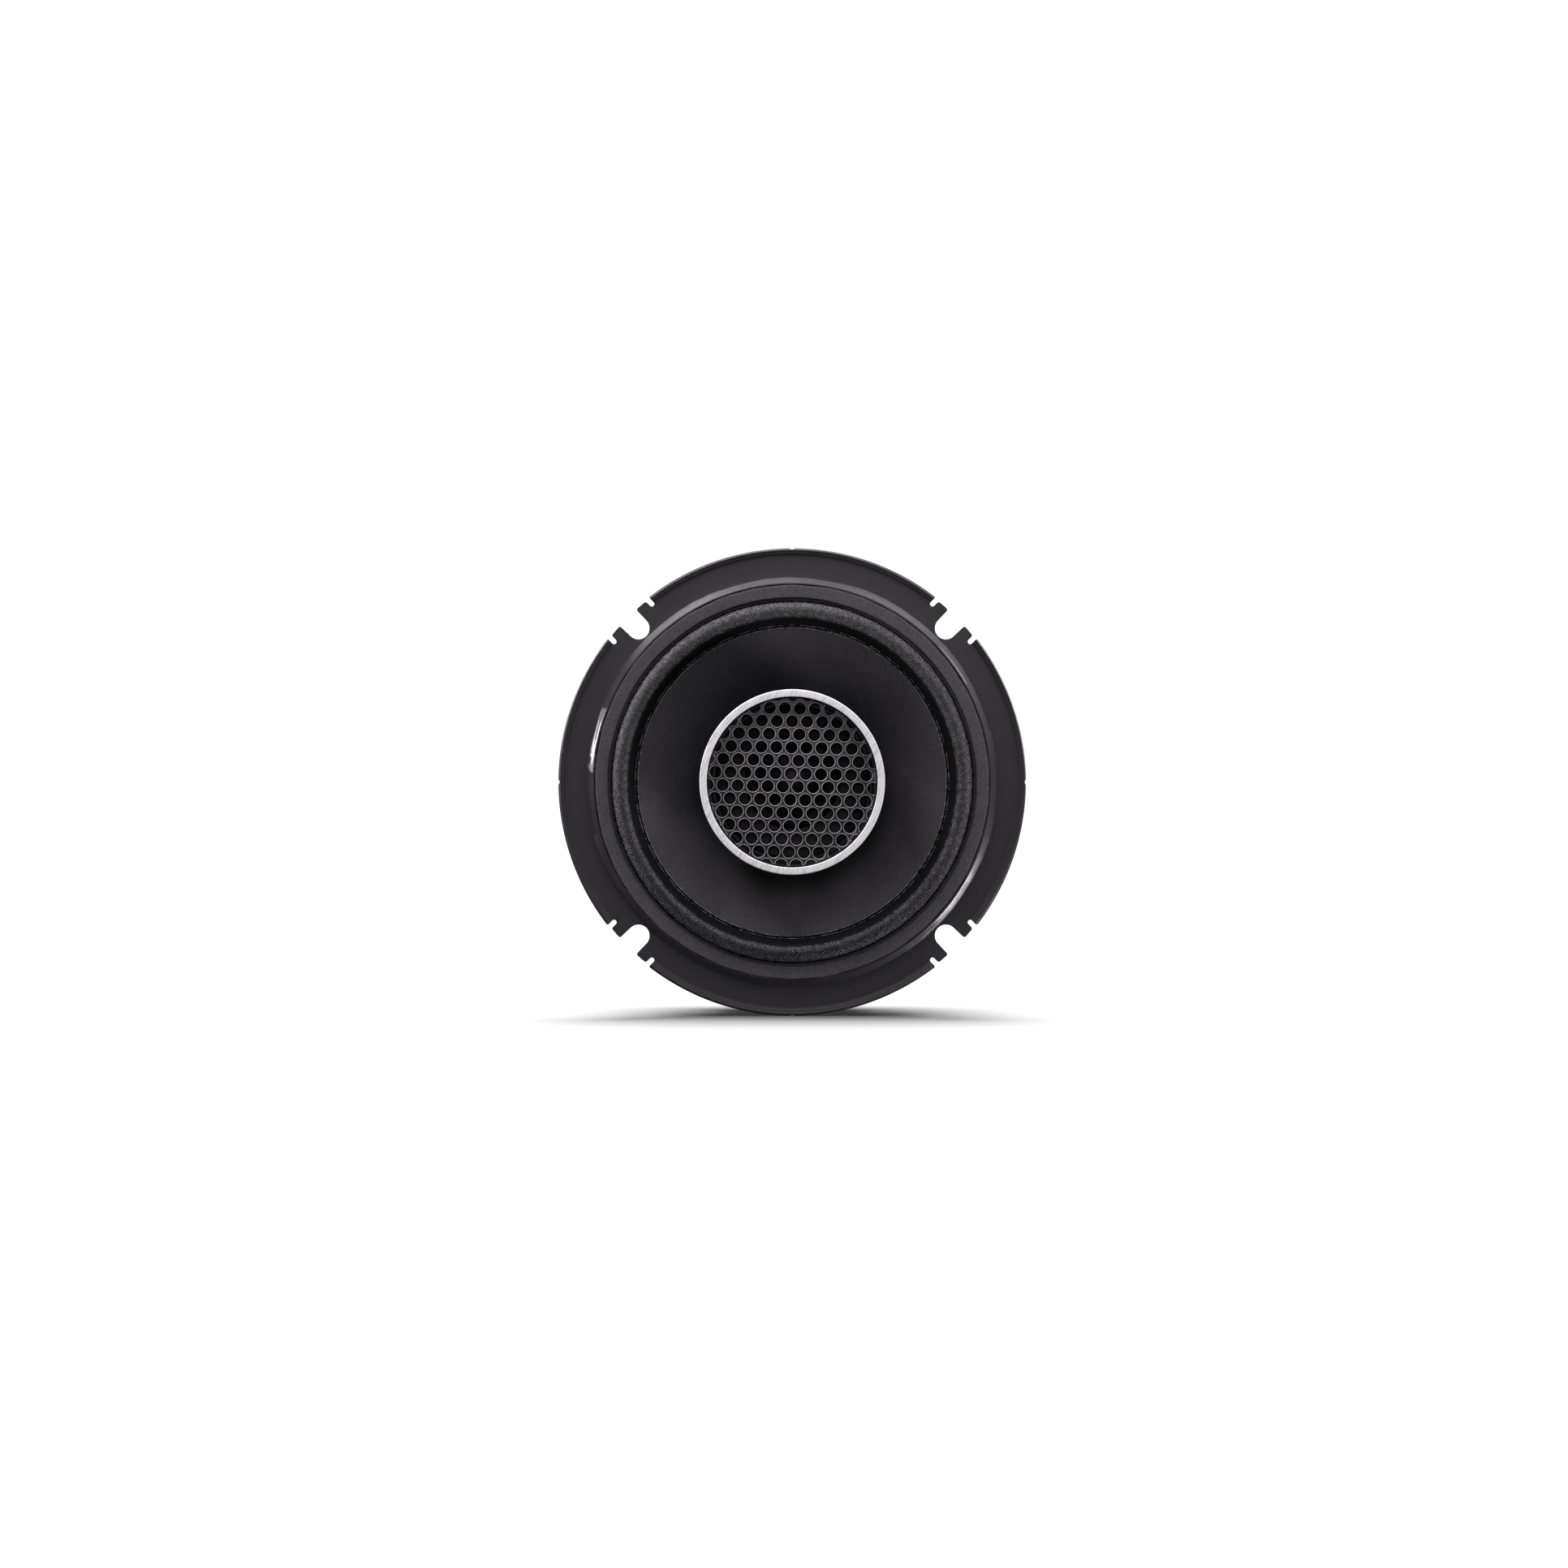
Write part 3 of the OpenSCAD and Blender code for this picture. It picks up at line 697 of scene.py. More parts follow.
def felt():
    m = Mat("felt", rough=0.95, spec=0.2)
    n = m.noise(2.4, 6, 0.85, dist=1.2)
    m.color(m.mix(n, (0.004, 0.004, 0.0045), (0.03, 0.03, 0.032)))
    m.bump(n, 0.15, 0.8)
    return m.m


def tin():
    m = Mat("tin_plate", rough=0.3, metal=1.0)
    n = m.noise(0.6, 4, 0.65)
    s = m.noise(3.0, 2, 0.5, src=m.mapping(scale=(1, 1, 0.15)))
    m.color(m.mix(n, (0.50, 0.49, 0.46), (0.78, 0.77, 0.74)))
    m.rough(m.math("ADD", m.remap(n, 0.3, 0.7, 0.22, 0.36), m.remap(s, 0.3, 0.7, -0.05, 0.08)))
    m.bump(s, 0.006, 0.5)
    return m.m


def sleeve_film():
    m = Mat("capacitor_sleeve", rough=0.24, spec=0.55)
    n = m.noise(0.15, 3, 0.6)
    m.color(m.mix(n, (0.010, 0.020, 0.075), (0.022, 0.042, 0.14)))
    m.rough(m.remap(m.noise(0.6, 3, 0.6), 0.3, 0.7, 0.18, 0.32))
    m.bump(m.noise(0.35, 2, 0.5), 0.05, 0.35)
    return m.m


def pvc(name, a, b):
    m = Mat(name, rough=0.38, spec=0.5)
    n = m.noise(0.5, 3, 0.6)
    m.color(m.mix(n, a, b))
    m.rough(m.remap(n, 0.3, 0.7, 0.32, 0.46))
    m.bump(m.noise(1.5, 2, 0.5), 0.01, 0.4)
    return m.m


def grille_paint():
    m = Mat("grille_steel", rough=0.36, spec=0.5)
    n = m.noise(1.8, 4, 0.7)
    at = m.new("ShaderNodeAttribute", attribute_name="rim")
    web = m.mix(m.remap(n, 0.3, 0.7, 0, 1), (0.012, 0.012, 0.013), (0.026, 0.026, 0.028))
    rim_painted_highlight = m.mix(m.remap(n, 0.3, 0.7, 0, 1), (0.36, 0.36, 0.365), (0.62, 0.62, 0.63))
    # the rolled rims of the holes get a light grey colour, 0.36 to 0.62, against the dark webs: a painted highlight
    m.color(m.mix(m.math("MULTIPLY", at.outputs["Fac"], m.remap(m.noise(0.25, 2, 0.5), 0.3, 0.7, 0.75, 1.0)), web, rim_painted_highlight))
    m.rough(m.remap(n, 0.3, 0.7, 0.26, 0.40))
    m.bump(n, 0.010, 0.5)
    return m.m


def dome_film():
    m = Mat("dome_film", rough=0.4, spec=0.15)
    n = m.noise(1.2, 4, 0.7)
    m.color(m.mix(n, (0.002, 0.002, 0.002), (0.007, 0.007, 0.007)))
    m.rough(m.remap(n, 0.3, 0.7, 0.32, 0.5))
    m.bump(n, 0.02, 0.6)
    return m.m


def nickel():
    m = Mat("neodymium", rough=0.16, metal=1.0)
    n = m.noise(0.5, 3, 0.6)
    m.color(m.mix(n, (0.52, 0.50, 0.46), (0.70, 0.68, 0.64)))
    m.rough(m.remap(n, 0.3, 0.7, 0.1, 0.24))
    m.bump(m.noise(2.0, 2, 0.5), 0.004, 0.4)
    return m.m


M = {
    "basket": powder_coat("basket_paint"),
    "gasket": gasket_board(),
    "surround": surround_cloth(),
    "cone": paper_cone(),
    "adhesive": adhesive(),
    "spider": spider_cloth(),
    "former": former_film(),
    "copper": copper(),
    "plate": turned_metal("plated_steel", 0.52, edge=36.95),
    "ferrite": ferrite(),
    "rivet": turned_metal("rivet_steel", 0.5, pitch=0.6),
    "felt": felt(),
    "board": phenolic(),
    "tin": tin(),
    "sleeve": sleeve_film(),
    "braid": copper(),
    "solder": tin(),
    "post": turned_metal("post_aluminium", 0.62, tint=(1, 1, 1.02), stain=(1, 1, 1)),
    "pod": moulded("pod_plastic", 0.0035, 0.55),
    "trim": brushed("trim_aluminium", 1.0, (0.975, 1.0, 0.965)),
    "grille": grille_paint(),
    "faceplate": moulded("faceplate_plastic", 0.0022, 0.5, spec=0.25),
    "dome": dome_film(),
    "suspension": moulded("suspension_cloth", 0.003, 0.75, grain=3.0, depth=0.03, spec=0.3),
    "nickel": nickel(),
    "red": pvc("lead_red", (0.26, 0.012, 0.010), (0.42, 0.022, 0.016)),
    "black": pvc("lead_black", (0.006, 0.006, 0.006), (0.018, 0.018, 0.018)),
}
M["braid"].name = "braided_copper"
M["solder"].name = "solder"

# ------------------------------------------------------------------ basket

R = 66.5
T = 1.2
RS = 54.5
SLOT_R = 61.8
SLOT_A = 3.15
NOTCH = 7.58
EAR_R = 66.1


def basket_outline():
    pts = [
        (R - 0.2, 0), (R, 0.2), (R, 1.0), (R - 0.06, 1.4), (R - 0.3, 1.88), (R - 0.65, 2.08), (R - 0.88, 2.02),
        (R - 1.02, 1.68), (R - 1.1, 1.62), (R - 1.48, 1.6), (R - 1.6, 1.5), (R - 1.68, 1.26), (R - 1.78, T),
        (64.0, T), (62.4, T), (60.4, T), (58.6, T), (58.28, 1.24), (58.04, 1.38), (57.2, 2.2), (56.78, 2.6), (56.5, 2.79), (56.24, 2.86),
        (56.06, 2.8), (56.0, 2.66), (56.0, T), (54.8, T),
        (RS - 0.9, T), (RS - 1.12, T - 0.14), (RS - 1.2, T - 0.42), (RS - 1.2, -3.5),
    ]
    inner = fillet([(RS - 1.2, -2.0), (RS - 1.2, -8.4), (41.7, -22), (33.2, -22), (33.2, -30.8), (15, -30.8)], 0,
                   {1: 3.0, 2: 1.4, 3: 1.0, 4: 1.2}, n=5)[1:-1]
    outer = fillet([(15, -32), (34.4, -32), (34.4, -23.2), (42.6, -23.2), (RS, -8), (RS, 0)], 0,
                   {1: 1.8, 2: 0.5, 3: 2.2, 4: 4.0}, n=5)[1:-1]
    return (pts + inner + [(15, -30.8), (15, -32)] + outer +
            [(RS, -3.5), (RS, 0), (56.7, 0), (56.9, 0.9), (57.0, 0.95), (57.3, 0.95), (57.4, 0.9), (57.6, 0), (60, 0), (63, 0)])


def basket_mesh():
    seg = 720
    pts = densify(basket_outline(), 2.4)
    wob = ring_noise(seg, 3, [5, 8, 11, 13, 17, 23, 29], 0.16)
    fine = ring_noise(seg, 4, [37, 51, 64, 83], 0.035)

    def warp(r, z, a):
        deg = np.degrees(a)
        off = np.abs((deg - 45 + 45) % 90 - 45)           # degrees from the nearest screw slot
        ear = off < 6.6
        lip = (r > R - 1.8) & ear
        # the ears are flat and end a little short of the rim
        k = (r - (R - 1.8)) / 1.8
        r2 = np.where(lip, (R - 1.8) + k * (EAR_R - (R - 1.8)), r)
        z2 = np.where(lip & (z > 0.9), T, z)
        z2 = np.where(lip & (z > 0.1) & (z <= 0.9), np.minimum(z, 1.0), z2)
        # the foot of the pressed step isn't quite round
        w = (wob + fine)[:, None]
        foot = np.clip(1 - np.abs(r2 - 57.9) / 0.9, 0, 1) * (z > 1.15)
        r2 = r2 + foot * w
        return r2, z2

    v, f = revolve(pts, seg, warp)
    o = obj("basket_shell", v, f)
    clean(o)
    cut = []
    c = 0.65
    # screw slots, with rounded mouths
    for k in range(4):
        a = SLOT_A
        out = []
        for i in range(0, 25):
            q = math.pi + math.pi * i / 24
            out.append((a * math.cos(q), SLOT_R + a * math.sin(q)))
        yc = math.sqrt((EAR_R - c) ** 2 - (a + 0.1 + c) ** 2)
        mouth = []
        for i in range(0, 9):                                  # right mouth corner
            q = math.pi - (math.pi / 2 + 0.05) * i / 8
            mouth.append((a + 0.1 + c + c * math.cos(q), yc + c * math.sin(q)))
        mouth.append((a + 0.1 + c + 0.05, R + 2))
        out = out + mouth + [(-x, y) for x, y in reversed(mouth)]
        cut.append(prism(turned(out, 45 + 90 * k), -1.5, 4.5))
        for s in (-1, 1):
            w = 0.705
            o2 = [(w * math.cos(math.pi + math.pi * i / 14), 64.0 + w * math.sin(math.pi + math.pi * i / 14)) for i in range(15)]
            inner_c = 0.5
            # towards the ear
            y1 = math.sqrt((EAR_R - c) ** 2 - (NOTCH - w - c) ** 2)
            left = [(-w - c + c * math.cos(q), y1 + c * math.sin(q)) for q in np.linspace(0, math.pi / 2 + 0.12, 8)] + [(-w - c - 0.1, R + 2)]
            # towards the rim
            y2 = math.sqrt((R - inner_c) ** 2 - (NOTCH + w + inner_c) ** 2)
            right = [(w + inner_c + inner_c * math.cos(q), y2 + inner_c * math.sin(q)) for q in np.linspace(math.pi, math.pi / 2 - 0.13, 7)] + [(w + inner_c + 0.1, R + 2)]
            o2 = o2 + right + list(reversed(left))
            o2 = [(s * (x + NOTCH), y) for x, y in o2]
            cut.append(prism(turned(o2, 45 + 90 * k), -1.5, 4.5))
        # nicks in the rim
        nick = [(0.9 * math.cos(q), R + 0.5 + 0.9 * math.sin(q)) for q in np.linspace(0, TAU, 25)[:-1]]
        cut.append(prism(turned(nick, 90 * k), -1.5, 4.5))
    # windows
    r1, r2, half, cc = 43.5, 51.8, 32.0, 3.0
    b1 = half - math.degrees(math.asin(cc / (r1 + cc)))
    b2 = half - math.degrees(math.asin(cc / (r2 - cc)))

    def arc(cx, cy, r, a0, a1, n):
        return [(cx + r * math.cos(math.radians(a0 + (a1 - a0) * i / n)), cy + r * math.sin(math.radians(a0 + (a1 - a0) * i / n))) for i in range(n + 1)]

    up = (arc(0, 0, r2, 0, b2 - 0.3, 30) +
          arc((r2 - cc) * math.cos(math.radians(b2)), (r2 - cc) * math.sin(math.radians(b2)), cc, b2 + 4, half + 86, 10) +
          arc((r1 + cc) * math.cos(math.radians(b1)), (r1 + cc) * math.sin(math.radians(b1)), cc, half + 94, 176 + b1, 10) +
          arc(0, 0, r1, b1 - 0.3, 0, 30))
    out = up + [(x, -y) for x, y in reversed(up[1:-1])]
    for k in range(4):
        cut.append(prism(turned(out, 90 * k), -27, -5))
    boolean(o, cut)
    holes = []
    for k in range(6):
        q = math.radians(30 + 60 * k)
        holes.append(prism([(25 * math.cos(q) + 1.85 * math.cos(t), 25 * math.sin(q) + 1.85 * math.sin(t)) for t in np.linspace(0, TAU, 25)[:-1]], -33, -29.5))
    for s in (-1, 1):
        holes.append(prism([(38.6 + 1.25 * math.cos(t), s * 9 + 1.25 * math.sin(t)) for t in np.linspace(0, TAU, 21)[:-1]], -26, -20))
    boolean(o, holes)
    clean(o, 2e-6)
    m = o.modifiers.new("bevel", "BEVEL")
    m.width = 0.13 * MM
    m.segments = 2
    m.limit_method = "ANGLE"
    m.angle_limit = math.radians(50)
    m.use_clamp_overlap = True
    bpy.context.view_layer.update()
    apply_modifiers(o)
    smooth(o, 32)
    # arcs of the pressed step given low roughness and a much lighter base colour: a painted glint
    co = np.array([x.co for x in o.data.vertices], float) / MM
    r, q = np.hypot(co[:, 0], co[:, 2]), np.degrees(np.arctan2(co[:, 2], co[:, 0])) % 360
    w = np.zeros(len(co))
    for a0, a1, r0, r1 in ((158.5, 177.5, 56.5, 58.0), (306, 344, 56.6, 57.6), (29, 43, 56.5, 57.0)):
        t = np.clip(np.minimum((q - a0) / 1.2, (a1 - q) / (1.2 if a0 < 200 else 14.0)), 0, 1)
        w = np.maximum(w, t * ((r > r0) & (r < r1)))
    # and where it stayed dull
    t = np.clip(np.minimum((q - 136) / 10, (214 - q) / 10), 0, 1)
    w = np.where(w > 0, w, -0.8 * t * ((r > 55.8) & (r < 58.15))) * (co[:, 1] < -1.22)
    a = o.data.attributes.new("gloss_and_painted_glint", "FLOAT", "POINT")
    a.data.foreach_set("value", w.astype(np.float32))
    o.data.materials.clear()
    o.data.materials.append(M["basket"])
    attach(o, "frame")
    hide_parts("basket")
    return o


basket = basket_mesh()

# ------------------------------------------------------------------ gasket

gseg = 720
g_out = ring_noise(gseg, 11, [3, 5, 9, 14, 21, 34], 0.07)
g_in = ring_noise(gseg, 12, [4, 7, 12, 19], 0.04)


def gasket_warp(r, z, a):
    t = np.clip((r - 52.3) / 3.5, 0, 1)
    r = r + (t * g_out[:, None] + (1 - t) * g_in[:, None])
    return np.minimum(r, 55.97), z


v, f = revolve(densify(fillet([(52.3, 1.72), (55.86, 1.72), (55.86, 3.12), (52.3, 3.15)], 0, {0: 0.05, 1: 0.05, 2: 0.16, 3: 0.2}, 4), 0.5), gseg, gasket_warp)
gasket = obj("gasket_ring", v, f, "frame", ["gasket"], M["gasket"], 50, "gasket_board")

# ------------------------------------------------------------------ surround

RC0, RC1 = 45.3, 51.05
mid, half_w = (RC0 + RC1) / 2, (RC1 - RC0) / 2


def surround_outline():
    z0, z1, h = 1.2, 1.7, 3.2
    top = [(55.65, z1), (52.4, z1), (51.7, z1)]
    k = 40
    for i in range(k + 1):
        a = math.radians(6 + 168 * i / k)
        top.append((mid + (half_w + 0.3) * math.cos(a), z1 + h * math.sin(a)))
    top += [(44.35, z1), (43.72, z1)]
    low = [(43.72, z0 + 0.02), (45.3, z0 + 0.02)]
    for i in range(k + 1):
        a = math.radians(172 - 164 * i / k)
        low.append((mid + (half_w - 0.15) * math.cos(a), z0 + h * math.sin(a)))
    low += [(51.05, z0 + 0.02), (55.65, z0 + 0.02)]
    return top + low


sseg = 720


def surround_warp(r, z, a):
    t = np.clip(np.sin(np.clip((r - RC0) / (RC1 - RC0), 0, 1) * math.pi), 0, 1)
    w = ring_noise(r.shape[0], 21, [6, 9, 15, 22, 31], 0.035)[:, None]
    return r, z + t * w


v, f = revolve(surround_outline(), sseg, surround_warp)
surround = obj("surround_roll", v, f, None, ["surround"], M["surround"], 60, "surround_cloth")


def radial_blend(o):
    """Bakes the piece's transform into its mesh."""
    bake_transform(o)


radial_blend(surround)

# ------------------------------------------------------------------ cone

COIL_OUT = 13.1


def cone_z(r):
    t = np.maximum(0, (np.asarray(r, float) - 13.1) / (42.6 - 13.1))
    return 1.2 - 0.6 - 21 + 21 * t ** 0.86


rr = np.linspace(COIL_OUT, 42.6, 44)
front = [(float(r), float(cone_z(r))) for r in rr]
edge = [(43.0, 0.85), (43.35, 1.12), (43.7, 1.19), (44.38, 1.19), (44.38, 0.62), (43.4, 0.45), (42.9, 0.05)]
back = [(float(r), float(cone_z(r)) - 0.8) for r in rr[::-1]]
v, f = revolve(front + edge + back, 480)
cone = obj("cone_paper", v, f, "cone_assembly", ["cone"], M["cone"], 40, "cone_fibre")

# the adhesive where the surround meets the cone: two thin uneven ridges
bseg = 1440


def bead_part(r0, w, h, seed):
    """One uneven ridge of adhesive."""
    g1 = ring_noise(bseg, seed, [7, 13, 29, 47, 71], 0.03)
    g2 = ring_noise(bseg, seed + 1, list(range(60, 330, 17)), 0.5)
    g3 = ring_noise(bseg, seed + 2, list(range(9, 60, 7)), 0.4)
    size = np.clip(0.75 + 0.5 * g2 + 0.5 * g3, 0.25, 1.35)

    def warp(r, z, a):
        return r0 + g1[:, None] + (r - r0) * (0.6 + 0.4 * size[:, None]), 1.66 + (z - 1.66) * size[:, None]

    prof = [(r0 + w / 2 * math.cos(q), 1.66 + h * math.sin(q)) for q in np.linspace(0, math.pi, 9)]
    prof += [(r0 - w / 2, 1.62), (r0 + w / 2, 1.62)]
    return revolve(prof, bseg, warp)


v, f = merge([bead_part(43.86, 0.34, 0.30, 31), bead_part(44.56, 0.28, 0.22, 41)])
bead = obj("cone_edge_adhesive", v, f, "cone_assembly", ["cone_edge_bead"], M["adhesive"], 60, "black_adhesive")

# ------------------------------------------------------------------ spider, coil, motor


def spz(r):
    return -22 + 0.2 + 1.05 * math.sin(TAU * 5 * (r - 15) / 17.5)


sp = np.linspace(15, 32.5, 110)
top = [(13.1, -21.4), (13.8, -21.4), (14.15, -21.5), (14.5, -21.62)] + [(r, spz(r) + 0.14) for r in sp] + [(33.0, -21.62), (36.9, -21.62)]
low = [(36.9, -21.98), (33.4, -21.98)] + [(r, spz(r) - 0.14) for r in sp[::-1]] + [(14.4, -22), (14.1, -22.55), (13.1, -22.6)]
v, f = revolve(top + low, 480)
spider = obj("spider_disc", v, f, None, ["spider"], M["spider"], 60, "spider_cloth")
radial_blend(spider)

v, f = revolve(fillet([(12.7, -39.5), (13.1, -39.5), (13.1, -18.6), (12.7, -18.6)], 0.05), 240)
former = obj("coil_former_tube", v, f, "cone_assembly", ["voice_coil_former"], M["former"], 35, "coil_former")

# the winding, turn by turn
turns = 36
z0, z1 = -38.75, -29.75
p = (z1 - z0) / turns
prof = [(13.1, z0), ]
for i in range(turns):
    for q in np.linspace(-math.pi / 2, math.pi / 2, 6)[(0 if i == 0 else 1):]:
        prof.append((13.45 + 0.13 * math.cos(q) / 1.0, z0 + p * (i + 0.5) + p / 2 * math.sin(q)))
prof.append((13.1, z1))
v, f = revolve(prof, 180)
winding = obj("coil_winding", v, f, "cone_assembly", ["voice_coil_winding"], M["copper"], 50, "copper_winding")

v, f = revolve(densify(fillet([(14.1, -36.5), (37, -36.5), (37, -32), (14.1, -32)], 0, {0: 0.3, 1: 0.6, 2: 0.6, 3: 0.3}), 3), 360)
top_plate = obj("front_plate", v, f, "frame", ["top_plate"], M["plate"], 35, "plated_steel")
v, f = revolve(densify(fillet([(18.5, -49.5), (40, -49.5), (40, -36.5), (18.5, -36.5)], 0, {0: 0.6, 1: 1.1, 2: 1.1, 3: 0.6}, 5), 2), 360,
               lambda r, z, a: (r - np.clip(ring_noise(r.shape[0], 51, [40, 57, 83, 111], 0.05)[:, None], 0, 1) * (np.abs(z + 43) > 5.2) * (r > 38), z))
magnet = obj("magnet_ring", v, f, "frame", ["magnet"], M["ferrite"], 40, "ferrite")
v, f = revolve(densify(fillet([(4.1, -54), (30.0, -54), (37, -53.2), (37, -49.5), (11.6, -49.5), (11.6, -37.5), (12.2, -36.5), (12.2, -31.8), (11.7, -31.5), (4.1, -31.5)],
                      0, {0: 0.5, 1: 1.0, 2: 0.8, 3: 0.4, 6: 0.3}, 4), 3), 360)
yoke = obj("back_plate_and_pole", v, f, "frame", ["yoke"], M["plate"], 35, "plated_steel")


def rivet(x, y, head):
    """A peened head over its shank. head is a list of (r, z) from the axis outward and back to the axis."""
    v, f = revolve(head, 40)
    return v + np.array([x, 0, y]) * MM, f


parts = []
for k in range(6):
    q = math.radians(30 + 60 * k)
    head = [(0, -34.5), (1.79, -34.5), (1.79, -30.85), (2.7, -30.8), (2.8, -30.6), (2.6, -30.2), (2.1, -29.9), (1.5, -29.75), (1.2, -29.72), (0.9, -29.95), (0, -30.0)]
    parts.append(rivet(25 * math.cos(q), 25 * math.sin(q), head))
v, f = merge(parts)
rivets = obj("basket_rivet_set", v, f, "frame", ["basket_rivets"], M["rivet"], 40, "rivet_steel")

v, f = revolve(densify(fillet([(8.05, -31.5), (11.6, -31.5), (11.6, -28.8), (8.05, -28.8)], 0.4), 0.4), 180,
               lambda r, z, a: (r + rng(61).normal(0, 0.03, r.shape), z + rng(62).normal(0, 0.03, r.shape) * (z > -31.3)))
dust = obj("felt_dust_ring", v, f, "frame", ["dust_ring"], M["felt"], 80, "felt")

# ------------------------------------------------------------------ tweeter

v, f = revolve(densify(fillet([(2.4, -9.2), (13.2, -9.2), (14, -8.9), (24.8, -1.9), (25.8, -0.6), (26.3, 1.2), (26.3, 7.9), (26.1, 8.1),
                               (24.6, 8.1), (24.6, 1), (12.7, 1), (12.7, -4.1), (2.4, -4.1)], 0, {1: 0.8, 3: 2.0, 4: 1.0, 5: 1.5, 7: 0.2, 6: 0.3}, 5), 1.5), 360)
housing = obj("tweeter_pod", v, f, "frame", ["tweeter_housing"], M["pod"], 35, "pod_plastic")

ring_pts = fillet([(24.5, 8.2), (24.62, 8.1), (26.1, 8.1), (26.16, 8.25), (26.16, 10.3), (25.98, 10.56), (24.26, 10.56), (24.14, 10.42), (24.14, 10.0), (24.5, 9.75)], 0,
                  {3: 0.05, 4: 0.12, 5: 0.14, 6: 0.06, 7: 0.05, 8: 0.1, 9: 0.1}, 6)
v, f = revolve(ring_pts, 480)
trim = obj("tweeter_bright_ring", v, f, "frame", ["tweeter_trim_ring"], M["trim"], 40, "trim_aluminium")

v, f = revolve(fillet([(14.6, 1.02), (24.55, 1.02), (24.55, 7.35), (23.1, 7.35), (22.85, 7.15), (22.7, 6.9), (21.9, 6.9), (21.7, 6.7), (21.4, 5.9),
                       (19, 5.2), (15.5, 4.6), (13.4, 4.4), (13.2, 4.1), (13.2, 3.45), (14.6, 3.45)], 0,
                      {3: 0.15, 5: 0.1, 6: 0.12, 8: 0.3, 11: 0.2}, 4), 360)
faceplate = obj("tweeter_flare", v, f, "frame", ["tweeter_faceplate"], M["faceplate"], 35, "faceplate_plastic")

PITCH, HOLE, MESH_R, MESH_Z, DOME_R = 4.26, 1.725, 23.7, 9.5, 190.0


